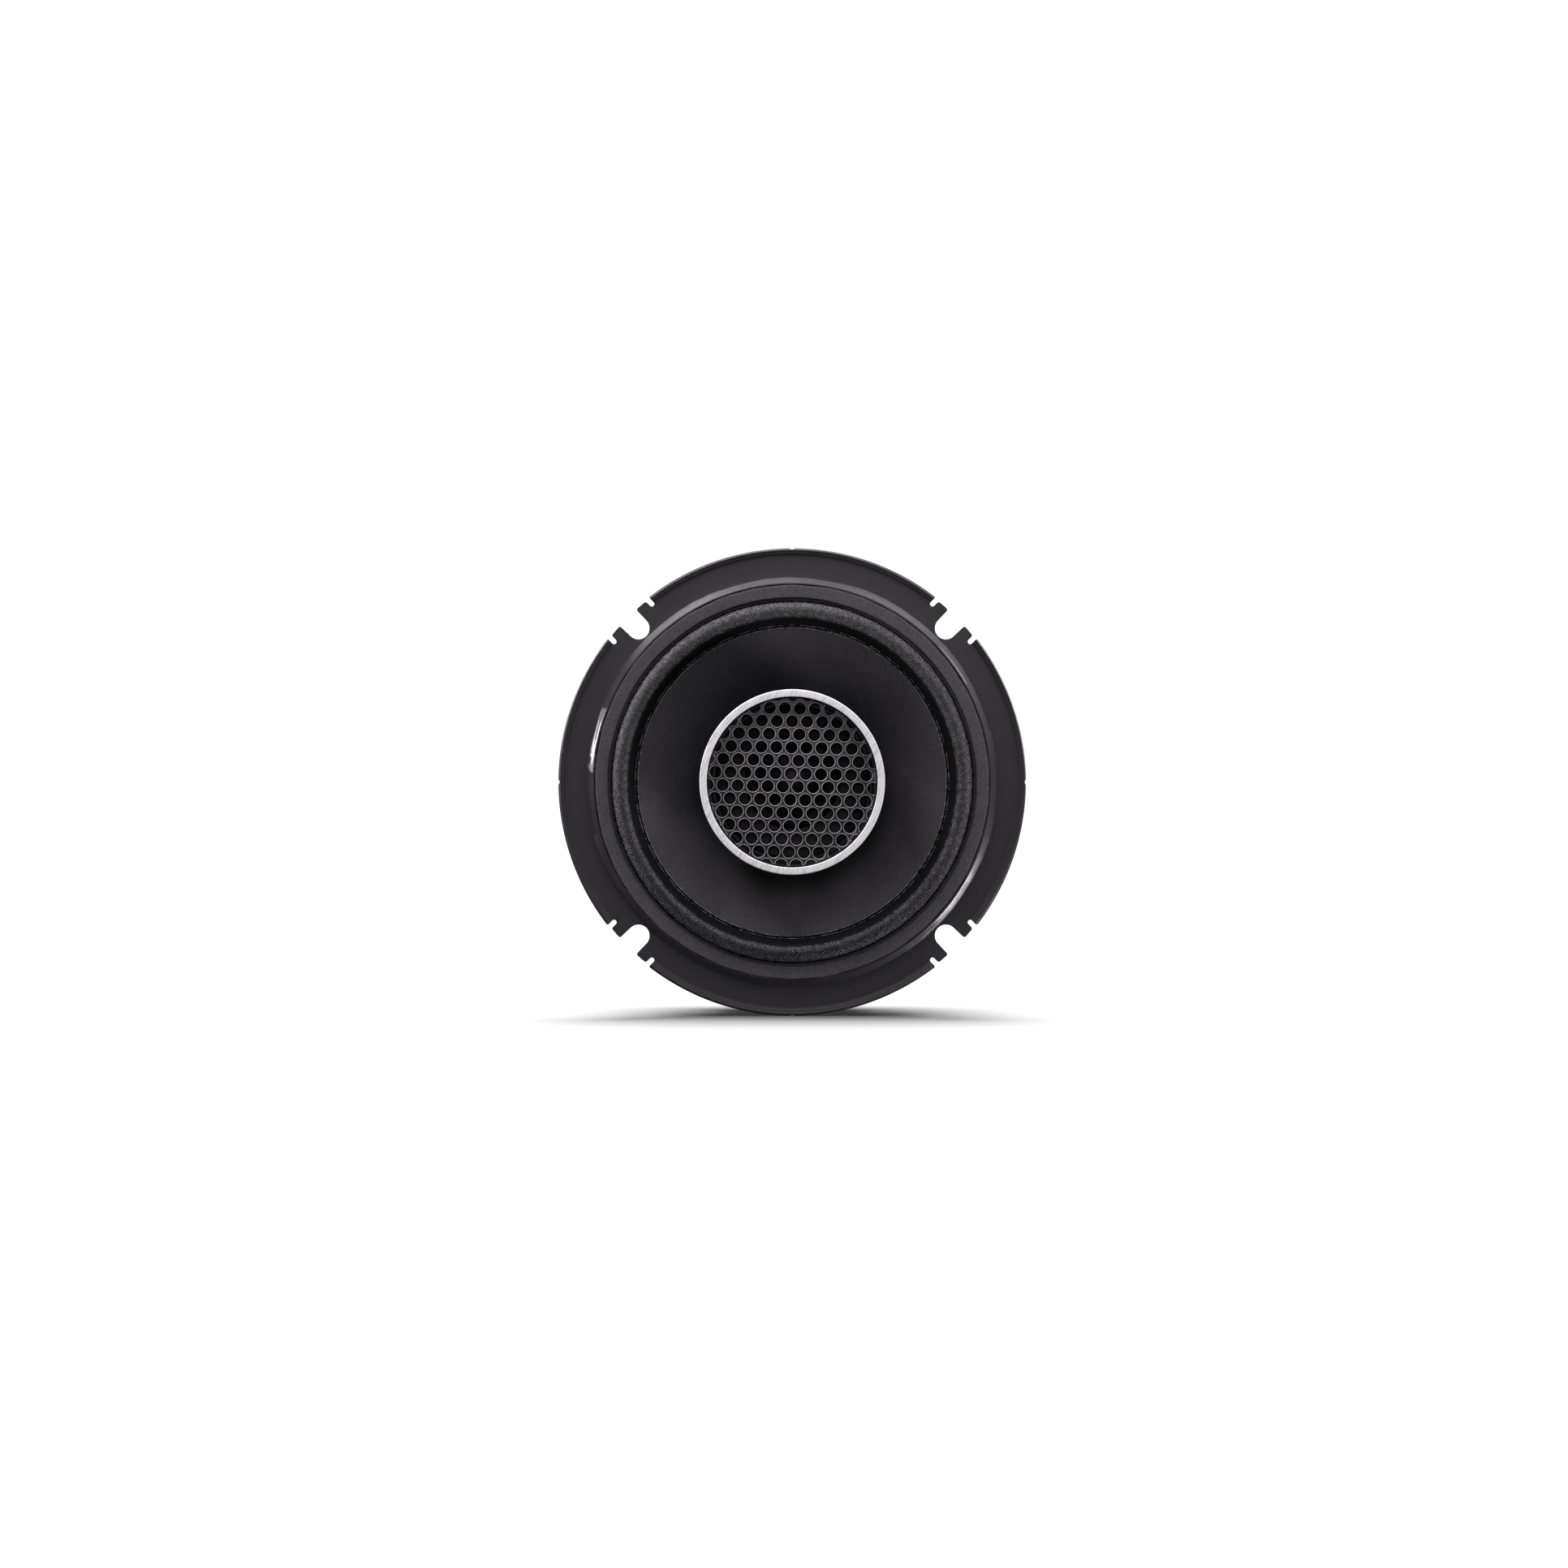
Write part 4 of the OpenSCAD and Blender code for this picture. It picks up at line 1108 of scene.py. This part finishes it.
def grille_mesh():
    """Hexagonal cells, each with a hole whose edge is a little raised and rounded, cut to a disc and domed."""
    n = 24
    thick = 0.6
    rings = [(HOLE + 0.34, 0.0), (HOLE + 0.27, 0.035), (HOLE + 0.19, 0.10), (HOLE + 0.12, 0.12), (HOLE + 0.05, 0.08), (HOLE, -0.03),
             (HOLE, -0.3), (HOLE, -thick + 0.08), (HOLE + 0.08, -thick)]
    verts, faces, centres = [], [], []
    tilt = math.radians(-1.4)
    ct, st = math.cos(tilt), math.sin(tilt)
    for j in range(-8, 9):
        for i in range(-9, 9):
            cx = PITCH * (i + (abs(j) % 2) / 2) + 1.66
            cy = PITCH * 0.8660254 * j - 1.35
            cx, cy = cx * ct - cy * st, cx * st + cy * ct
            if math.hypot(cx, cy) > MESH_R + 2.6:
                continue
            centres.append((cx, cy))
            base = len(verts)
            for k in range(n):
                q = TAU * k / n + tilt + math.radians(30)
                # the hexagonal cell's edge at this angle
                w = (TAU * k / n) % (math.pi / 3) - math.pi / 6
                hexr = PITCH / 2 / math.cos(w)
                hx, hy = cx + hexr * math.cos(q), cy + hexr * math.sin(q)
                verts.append((hx, hy, 0.0))
                for r, z in rings:
                    verts.append((cx + r * math.cos(q), cy + r * math.sin(q), z))
                verts.append((hx, hy, -thick))
            m = len(rings) + 2
            for k in range(n):
                k2 = (k + 1) % n
                for s in range(m - 1):
                    faces.append([base + k * m + s, base + k * m + s + 1, base + k2 * m + s + 1, base + k2 * m + s])
    v = np.array(verts)
    v = np.c_[v[:, 0], -v[:, 2], v[:, 1]] * MM
    me = bpy.data.meshes.new("grille_cells")
    me.from_pydata([tuple(x) for x in v], [], faces)
    bm = bmesh.new()
    bm.from_mesh(me)
    bmesh.ops.remove_doubles(bm, verts=bm.verts, dist=0.002 * MM)
    # close the outer edge of the patch
    edges = [e for e in bm.edges if len(e.link_faces) == 1]
    top_e = [e for e in edges if all(abs(x.co.y) < 1e-7 for x in e.verts)]
    pair = {}
    for x in bm.verts:
        if abs(x.co.y - thick * MM) < 1e-7:
            pair[(round(x.co.x * 1e6), round(x.co.z * 1e6))] = x
    for e in top_e:
        a, b = e.verts
        c = pair.get((round(a.co.x * 1e6), round(a.co.z * 1e6)))
        d = pair.get((round(b.co.x * 1e6), round(b.co.z * 1e6)))
        if c and d:
            bm.faces.new((a, b, d, c))
    bmesh.ops.recalc_face_normals(bm, faces=bm.faces)
    bm.to_mesh(me)
    bm.free()
    o = bpy.data.objects.new("tweeter_mesh_disc", me)
    scene.collection.objects.link(o)
    disc = prism([(MESH_R * math.cos(q), MESH_R * math.sin(q)) for q in np.linspace(0, TAU, 241)[:-1]], -3, 3)
    boolean(o, disc, "INTERSECT")
    co = np.array([x.co for x in o.data.vertices], float)
    r = np.hypot(co[:, 0], co[:, 2]) / MM
    z = MESH_Z - (DOME_R - np.sqrt(DOME_R ** 2 - r ** 2))
    co[:, 1] -= z * MM
    o.data.vertices.foreach_set("co", co.astype(np.float32).ravel())
    clean(o, 1e-6)
    m = o.modifiers.new("bevel", "BEVEL")
    m.width = 0.07 * MM
    m.segments = 2
    m.limit_method = "ANGLE"
    m.angle_limit = math.radians(60)
    bpy.context.view_layer.update()
    apply_modifiers(o)
    smooth(o, 40)
    # how near each point is to the rolled rim of a hole, where a lighter colour is painted on as a highlight
    co = np.array([x.co for x in o.data.vertices], float)[:, [0, 2]] / MM
    d = np.min(np.linalg.norm(co[:, None, :] - np.array(centres)[None], axis=2), axis=1)
    w = np.clip(1 - np.abs(d - HOLE - 0.10) / 0.14, 0, 1)
    a = o.data.attributes.new("rim", "FLOAT", "POINT")
    a.data.foreach_set("value", w.astype(np.float32))
    o.data.materials.clear()
    o.data.materials.append(M["grille"])
    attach(o, "frame")
    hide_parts("tweeter_grille")
    return o


grille = grille_mesh()

# the dome and its rolled edge
RD = 9.9
RAD = 17.8
c0 = math.cos(math.asin(RD / RAD))
outer = [(RAD * math.sin(a), 3.75 + RAD * (math.cos(a) - c0) + 0.28) for a in np.linspace(math.asin(RD / RAD), 0, 30)]
inner = [(RAD * math.sin(a) * 0.985, 3.75 + RAD * (math.cos(a) - c0)) for a in np.linspace(0, math.asin(RD / RAD), 30)]
v, f = revolve([(RD - 0.45, 3.75), (RD, 3.75)] + outer[:-1] + [(0.0, outer[-1][1])] + [(0.0, inner[0][1])] + inner[1:-1], 180)
dome = obj("tweeter_dome_film", v, f, "tweeter_diaphragm", ["tweeter_dome"], M["dome"], 40, "dome_film")
v, f = revolve(fillet([(9.9, 3.75), (10.3, 3.7), (10.9, 4.25), (11.6, 4.45), (12.3, 4.25), (12.75, 3.55), (13.1, 3.1), (14.4, 3.1), (14.4, 3.4),
                       (13.15, 3.4), (12.95, 3.85), (12.5, 4.5), (11.6, 4.75), (10.7, 4.5), (10.25, 4.05), (9.9, 4.05)], 0.2, {}, 3), 240)
susp = obj("tweeter_rolled_edge", v, f, None, ["tweeter_suspension"], M["suspension"], 60, "suspension_cloth")
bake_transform(susp)
co = np.array([x.co for x in susp.data.vertices], float)
r = np.hypot(co[:, 0], co[:, 2]) / MM
t = np.clip((13.0 - r) / (13.0 - 10.0), 0, 1)

# ------------------------------------------------------------------ rear hardware


def place(v, x=0.0, y=0.0, z=0.0):
    """Moves vertices by a shift given in the speaker's front-facing frame, in mm."""
    return np.asarray(v, float) + np.array([x, -z, y]) * MM


def along_y(v):
    """Turns a part that was revolved about the speaker's axis so that its axis is the front-facing frame's y."""
    v = np.asarray(v, float)
    return np.c_[v[:, 0], -v[:, 2], v[:, 1]]


def block(x0, x1, y0, y1, z0, z1, c=0.0):
    """A plate with cut corners, in the front-facing frame."""
    out = [(x0 + c, y0), (x1 - c, y0), (x1, y0 + c), (x1, y1 - c), (x1 - c, y1), (x0 + c, y1), (x0, y1 - c), (x0, y0 + c)]
    return prism([q for i, q in enumerate(out) if c > 0 or i % 2 == 0], z0, z1)


def braided(path, radius, pitch, strands=8):
    """A braided copper lead: strands cross over and under each other round the tube."""
    sides = strands * 4
    q = catmull(path, 26)
    v, f = tube(q, radius, sides)
    n = len(q)
    s = np.r_[0, np.cumsum(np.linalg.norm(np.diff(q, axis=0), axis=1))]
    k = strands // 2
    a = np.tile(np.arange(sides) / sides * TAU, n)
    u = np.repeat(s, sides) / pitch * TAU
    h = np.maximum(np.cos(k * a + u) * (0.5 + 0.5 * np.cos(k * a - u + 0.6)), np.cos(k * a - u) * (0.5 + 0.5 * np.cos(k * a + u + 2.6)))
    c = np.repeat(np.c_[q[:, 0], -q[:, 2], q[:, 1]] * MM, sides, 0)
    v = np.asarray(v, float)
    d = v - c
    return c + d * (0.86 + 0.14 * h)[:, None], f, np.repeat(s / s[-1], sides)


tinsel_route = [(27.6, 5.4, -11.3), (29.5, 5.5, -13.4), (33, 5.6, -15.6), (37, 5.7, -16.9), (41, 5.8, -17.2), (44.2, 5.9, -18.2),
                (46.2, 6, -20.2), (46.6, 6, -22.7)]
parts, along = [], []
for sgn in (-1, 1):
    v, f, t = braided([(x, sgn * y, z) for x, y, z in tinsel_route], 0.45, 1.5)
    parts.append((v, f))
    along.append(t)
v, f = merge(parts)
tinsel = obj("braided_leads", v, f, None, ["tinsel_leads"], M["braid"], 60, "braided_copper")
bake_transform(tinsel)
t = np.clip(1 - np.concatenate(along) * 1.06, 0, 1)

# solder joints of those leads behind the cone: a dab of solder
base = cone_z(28.12) - 2.25
parts = []
for sgn in (-1, 1):
    prof = [(0, 1.5), (0.5, 1.45), (0.8, 1.2), (0.95, 0.8), (1.0, 0.45), (0.8, 0.12), (0.45, 0.0), (0, -0.02)]
    v, f = revolve(prof[::-1], 32)
    parts.append((place(v, 27.6, sgn * 5.4, float(base)), f))
v, f = merge(parts)
eyelets = obj("lead_solder_joints", v, f, "cone_assembly", ["tinsel_eyelets"], M["solder"], 50, "solder")

# tweeter leads: one red, one black
lead_route = [(0.9, 1, -4.6), (0.9, 1, -20), (0.9, 1, -45), (0.9, 1, -55), (1.6, 1, -58.6), (4, 1.1, -59.6), (7.4, 1.2, -58.4), (9.6, 1.3, -55.6),
              (13, 1.4, -54.9), (24, 1.4, -54.8), (35, 1.4, -54.8), (38.6, 1.4, -53.6), (40.9, 1.5, -50), (41, 1.6, -44), (41.2, 2, -38),
              (44.5, 3.6, -35.2), (47.3, 4.6, -31.6), (47.2, 5.6, -28.6), (46.9, 6, -26.3)]
parts, count = [], []
for sgn in (-1, 1):
    q = catmull([(x, sgn * y, z) for x, y, z in lead_route], 10)
    s = np.r_[0, np.cumsum(np.linalg.norm(np.diff(q, axis=0), axis=1))]
    rad = np.full(len(q), 0.55)
    bare = s > s[-1] - 1.6
    rad[bare] = 0.33
    v, f = tube(q, rad, 20)
    parts.append((v, f))
    count.append((len(v), len(f), len(q), bare))
v, f = merge(parts)
leads = obj("tweeter_lead_pair", v, f, "frame", ["tweeter_leads"], M["black"], 50, "lead_insulation")
leads.data.materials.append(M["red"])
leads.data.materials.append(M["solder"])
idx = np.zeros(len(leads.data.polygons), np.int32)
off = 0
for k, (nv, nf, nq, bare) in enumerate(count):
    ring = np.minimum(np.arange(nf) // 20, nq - 1)
    idx[off:off + nf] = np.where(bare[ring], 2, k)
    off += nf
leads.data.polygons.foreach_set("material_index", idx)

# crossover capacitor: sleeved can with a rolled groove, end seals and tinned wires
can = fillet([(0.01, -7), (3.9, -7), (4.4, -6.5), (4.4, -5.5), (4.18, -5.2), (4.18, -4.9), (4.4, -4.6), (4.4, 6.5), (3.95, 7), (3.3, 7.0), (3.2, 6.8), (0.01, 6.8)], 0,
             {1: 0.25, 2: 0.4, 3: 0.2, 4: 0.1, 5: 0.1, 6: 0.2, 7: 0.5, 8: 0.2}, 5)
v, f = revolve([(0, -7)] + can[1:-1] + [(0, 6.8)], 64)
parts = [(place(along_y(v), 41.4, 0, -30.1), f)]
n_can = len(f)
for sgn in (-1, 1):
    w = [(41.4, sgn * 6.7, -30.1), (41.4, sgn * 8.4, -30.1), (41.4, sgn * 9.3, -30.05), (41.4, sgn * 9.78, -29.7), (41.4, sgn * 9.9, -29.1), (41.4, sgn * 9.9, -27.0), (41.4, sgn * 9.9, -24.8)]
    parts.append(tube(catmull(w, 6), 0.4, 16))
    v, f = revolve([(0, 1.1), (0.5, 1.05), (0.62, 0.7), (1.05, 0.15), (1.25, 0.0), (0, 0.0)][::-1], 28)
    v = np.asarray(v, float) * np.array([1, -1, 1])
    parts.append((place(v, 41.4, sgn * 9.9, -24.8), [q[::-1] for q in f]))
v, f = merge(parts)
cap = obj("crossover_capacitor", v, f, "frame", ["capacitor"], M["sleeve"], 40, "capacitor_sleeve")
cap.data.materials.append(M["solder"])
idx = np.zeros(len(cap.data.polygons), np.int32)
idx[n_can:] = 1
cap.data.polygons.foreach_set("material_index", idx)

# terminal board with rounded corners, its rivets and the two push-on tabs
out = [(35.4, -13), (50, -13), (50, -10.5), (52, -10.5), (52, 10.5), (50, 10.5), (50, 13), (35.4, 13)]
out = fillet(out, 0.5, {0: 1.2, 7: 1.2, 1: 0.8, 6: 0.8, 2: 0.4, 5: 0.4}, 6)
board = obj("terminal_plate", *prism(out, -24.8, -23.2), None, (), None)
holes = []
for sgn in (-1, 1):
    holes.append(prism([(38.6 + 1.2 * math.cos(q), sgn * 9 + 1.2 * math.sin(q)) for q in np.linspace(0, TAU, 25)[:-1]], -27, -21))
    holes.append(prism([(46.6 + 0.9 * math.cos(q), sgn * 6 + 0.9 * math.sin(q)) for q in np.linspace(0, TAU, 25)[:-1]], -27, -21))
boolean(board, holes)
clean(board, 1e-6)
bevel(board, 0.12, 2, 50)
smooth(board, 40)
board.data.materials.clear()
board.data.materials.append(M["board"])
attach(board, "frame")
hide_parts("terminal_board")


def tab(name, node, w, sgn):
    t0, z = 0.8, -24.8
    y = sgn * 6
    r = 0.85
    # one strip bent from the foot into the blade, as a profile in x and z with an inner and an outer radius
    prof = [(44.4, z), (51 - 0.0, z)]
    outer = [(44.4, z - t0)]
    q = np.linspace(0, math.pi / 2, 9)
    inner_bend = [(50.2 - 0.5 + 0.5 * math.sin(a), z - t0 - 0.5 + 0.5 * math.cos(a)) for a in q]
    outer_bend = [(50.2 - 0.5 + 1.3 * math.sin(a), z - t0 - 0.5 + 1.3 * math.cos(a)) for a in q]
    path = [(44.4, z)] + outer_bend + [(51, z - 8.0), (50.85, z - 8.4 - 0.8 + 0.0)]
    low = [(50.35, z - 9.2), (50.2, z - 8.0)] + inner_bend[::-1] + [(44.4, z - t0)]
    loop = path + low
    m = len(loop)
    # the blade narrows at its tip
    verts = []
    for s2 in (-1, 1):
        for x, zz in loop:
            d = (z - 8.0) - zz
            cut = max(0.0, d) * 0.83
            verts.append((x, y + s2 * (w / 2 - cut), zz))
    verts = np.array(verts)
    v = np.c_[verts[:, 0], -verts[:, 2], verts[:, 1]] * MM
    f = [list(range(m)), list(range(2 * m - 1, m - 1, -1))] + [[i, i + m, (i + 1) % m + m, (i + 1) % m] for i in range(m)]
    o = obj(name, v, f, None, (), None)
    # the locking hole through the blade and the eyelet's hole in the foot
    hole = [(1.0 * 0.8 * math.cos(a), 0.8 * math.sin(a)) for a in np.linspace(0, TAU, 25)[:-1]]
    hv = np.array([(x, y + b, z - 4.8 + 0.0 + a) for x in (49, 53) for a, b in hole])
    hv = np.c_[hv[:, 0], -hv[:, 2], hv[:, 1]] * MM
    n = len(hole)
    hf = [list(range(n)), list(range(2 * n - 1, n - 1, -1))] + [[i, i + n, (i + 1) % n + n, (i + 1) % n] for i in range(n)]
    boolean(o, [(hv, hf), prism([(46.6 + 0.9 * math.cos(a), y + 0.9 * math.sin(a)) for a in np.linspace(0, TAU, 25)[:-1]], z - 2, z + 1)])
    clean(o, 1e-6)
    bevel(o, 0.09, 2, 50)
    # eyelet: a flanged tube, rolled over on both sides
    ev, ef = revolve(fillet([(0.5, z - 1.25), (1.1, z - 1.3), (1.5, z - 1.12), (1.5, z - 0.8), (0.9, z - 0.8), (0.9, z + 1.6), (1.5, z + 1.6), (1.5, z + 1.85), (1.1, z + 2.0), (0.5, z + 1.95)],
                            0.12, {}, 3), 40)
    add = bpy.data.meshes.new("eyelet")
    add.from_pydata([tuple(x) for x in place(ev, 46.6, y, 0)], [], ef)
    bm = bmesh.new()
    bm.from_mesh(add)
    bmesh.ops.recalc_face_normals(bm, faces=bm.faces)
    bm.to_mesh(add)
    bm.free()
    bm = bmesh.new()
    bm.from_mesh(o.data)
    bm.from_mesh(add)
    bm.to_mesh(o.data)
    bm.free()
    bpy.data.meshes.remove(add)
    smooth(o, 40)
    o.data.materials.clear()
    o.data.materials.append(M["tin"])
    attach(o, "frame")
    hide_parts(node)
    return o


tab_p = tab("wide_blade", "terminal_positive", 6.35, 1)
tab_n = tab("narrow_blade", "terminal_negative", 4.75, -1)

parts = []
for sgn in (-1, 1):
    v, f = revolve([(0, -25.62), (0.5, -25.6), (1.3, -25.5), (1.9, -25.2), (2.1, -24.95), (2.1, -24.8), (1.2, -24.8), (1.2, -22.0), (1.85, -22.0), (1.9, -21.8), (1.7, -21.45), (1.2, -21.3), (0, -21.3)], 44)
    parts.append((place(v, 38.6, sgn * 9, 0), f))
v, f = merge(parts)
board_rivets = obj("board_rivet_pair", v, f, "frame", ["terminal_rivets"], M["rivet"], 40, "rivet_steel")

# post nut with chamfered corners and a smooth bore, and its washer
hexagon = [(5.6 * math.cos(math.radians(60 * k)), 5.6 * math.sin(math.radians(60 * k))) for k in range(6)]
nut = obj("hex_nut", *prism(hexagon, -57.9, -54.8), None, (), None)
boolean(nut, revolve([(0, -58.0), (4.75, -58.0), (4.75, -57.9), (6.2, -57.05), (6.2, -55.65), (4.75, -54.8), (4.75, -54.7), (0, -54.7)], 96), "INTERSECT")
bore = []
for i in range(8):
    z = -57.9 + i * 0.3875
    bore += [(4.02, z), (4.22, z + 0.19)]
boolean(nut, revolve([(0, -58.2), (4.5, -58.2), (4.05, -57.78)] + [(4.02, -57.7), (4.02, -55.0)] + [(4.5, -54.6), (0, -54.6)], 64))
clean(nut, 1e-6)
bevel(nut, 0.08, 2, 35)
smooth(nut, 30)
nut.data.materials.clear()
nut.data.materials.append(M["plate"])
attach(nut, "frame")
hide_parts("post_nut")

v, f = revolve(fillet([(4.1, -54.8), (7.2, -54.8), (7.2, -54.02), (4.1, -54.02)], 0.1, {1: 0.25, 2: 0.1}, 4), 96)
washer = obj("flat_washer", v, f, "frame", ["post_washer"], M["plate"], 40, "plated_steel")

# the hollow post: flange under the pod, shoulder on the pole and a chamfered end
v, f = revolve(densify(fillet([(2.2, -57.6), (3.7, -57.6), (4, -57.3), (4, -31.5), (8, -31.5), (8, -13), (9, -11.6), (11, -11.2), (11, -9.2), (2.2, -9.2)], 0,
                              {1: 0.1, 2: 0.1, 4: 0.3, 5: 1.2, 6: 1.2, 7: 0.4, 8: 0.1, 0: 0.2}, 5), 2.0), 180)
post = obj("hollow_post", v, f, "frame", ["tweeter_post"], M["post"], 35, "post_aluminium")

# ------------------------------------------------------------------ carried-over CAD nodes

looks = {"tweeter_voice_coil": "copper", "tweeter_top_plate": "plate", "tweeter_magnet": "nickel", "tweeter_yoke": "plate"}
for node, look in looks.items():
    o = frame["nodes"][node]
    if o.hide_render:
        continue
    o.data.materials.clear()
    o.data.materials.append(M[look])
    smooth(o, 35)

# ------------------------------------------------------------------ floor and light

FLOOR_Z = -0.0665
AMBIENT = 0.03


def floor():
    m = Mat("floor_white", rough=0.7, spec=0.0)
    n = m.noise(0.02, 2, 0.5)
    m.color(m.mix(n, (0.86, 0.86, 0.86), (0.88, 0.88, 0.88)))
    xs, ys = np.linspace(-4, 4, 17), np.linspace(-4, 12, 33)
    v = [(x, y, FLOOR_Z) for x in xs for y in ys]
    k = len(ys)
    f = [[i * k + j, (i + 1) * k + j, (i + 1) * k + j + 1, i * k + j + 1] for i in range(len(xs) - 1) for j in range(k - 1)]
    me = bpy.data.meshes.new("studio_floor")
    me.from_pydata(v, [], f)
    o = bpy.data.objects.new("studio_floor", me)
    scene.collection.objects.link(o)
    me.materials.append(m.m)
    # the floor takes the shadow, and neither lights nor blocks anything
    o.visible_shadow = False
    o.visible_diffuse = False
    o.visible_glossy = False
    return o


ground = floor()

world = bpy.data.worlds.new("studio")
scene.world = world
world.use_nodes = True
wt = world.node_tree
bg = wt.nodes["Background"]
bg.inputs[0].default_value = (1, 1, 1, 1)
bg.inputs[1].default_value = AMBIENT
seen = wt.nodes.new("ShaderNodeBackground")
seen.inputs[0].default_value = (1, 1, 1, 1)
seen.inputs[1].default_value = 1.1
path = wt.nodes.new("ShaderNodeLightPath")
pick = wt.nodes.new("ShaderNodeMixShader")
wt.links.new(path.outputs["Is Camera Ray"], pick.inputs[0])
wt.links.new(bg.outputs[0], pick.inputs[1])
wt.links.new(seen.outputs[0], pick.inputs[2])
wt.links.new(pick.outputs[0], wt.nodes["World Output"].inputs["Surface"])

# the lights on the object leave out the floor, which has soft lights of its own
not_floor = bpy.data.collections.new("all_but_the_floor")
not_floor.objects.link(ground)
not_floor.collection_objects[0].light_linking.link_state = "EXCLUDE"
floor_only = bpy.data.collections.new("floor_only")
floor_only.objects.link(ground)


def area(name, loc, target, size, power, size_y=None, spread=None):
    d = bpy.data.lights.new(name, "AREA")
    d.shape = "RECTANGLE"
    d.size = size
    d.size_y = size_y or size
    d.energy = power
    d.color = (1.0, 0.945, 1.03)
    if spread:
        d.spread = math.radians(spread)
    o = bpy.data.objects.new(name, d)
    scene.collection.objects.link(o)
    o.location = loc
    o.rotation_euler = (Vector(target) - Vector(loc)).to_track_quat("-Z", "Y").to_euler()
    o.light_linking.receiver_collection = not_floor
    return o


for k, (tilt, spread, energy) in enumerate(((-17, 40, 3.3), (4, 70, 0.9))):
    d = bpy.data.lights.new(f"floor_light_{k}", "SUN")
    d.energy = energy
    d.angle = math.radians(spread)
    o = bpy.data.objects.new(f"floor_light_{k}", d)
    scene.collection.objects.link(o)
    o.rotation_euler = (math.radians(tilt), 0, 0)
    o.light_linking.receiver_collection = floor_only

# a ring of softboxes almost in the flange's plane, and a weak one in front
D = 0.9
for name, az, polar, size, power in (
        ("front", 90, 15, 0.35, 1.15), ("right_up", 30, 80, 0.35, 2.0), ("right_top", 60, 80, 0.35, 4.3), ("top", 90, 80, 0.35, 3.2),
        ("left_top", 120, 80, 0.35, 7.4), ("left_up", 150, 80, 0.35, 2.2), ("left", 180, 80, 0.35, 1.6), ("right_low", 325, 80, 0.30, 4.6)):
    p, q = math.radians(polar), math.radians(az)
    area(name, (D * math.sin(p) * math.cos(q), -D * math.cos(p), D * math.sin(p) * math.sin(q)), (0, 0, 0), size, power)
q = math.radians(168)
area("left_glint", (D * math.cos(q), -0.03, D * math.sin(q)), (0, 0, 0), 0.10, 2.6, 0.16)

# softboxes behind, for the motor and the basket's back
area("back_left", (-0.75, 0.75, 0.45), (0, 0.03, 0), 0.5, 9.0)
area("back_right", (0.8, 0.65, 0.35), (0, 0.03, 0), 0.5, 9.0)
area("back_top", (0.0, 0.55, 0.9), (0, 0.03, 0), 0.5, 7.0)
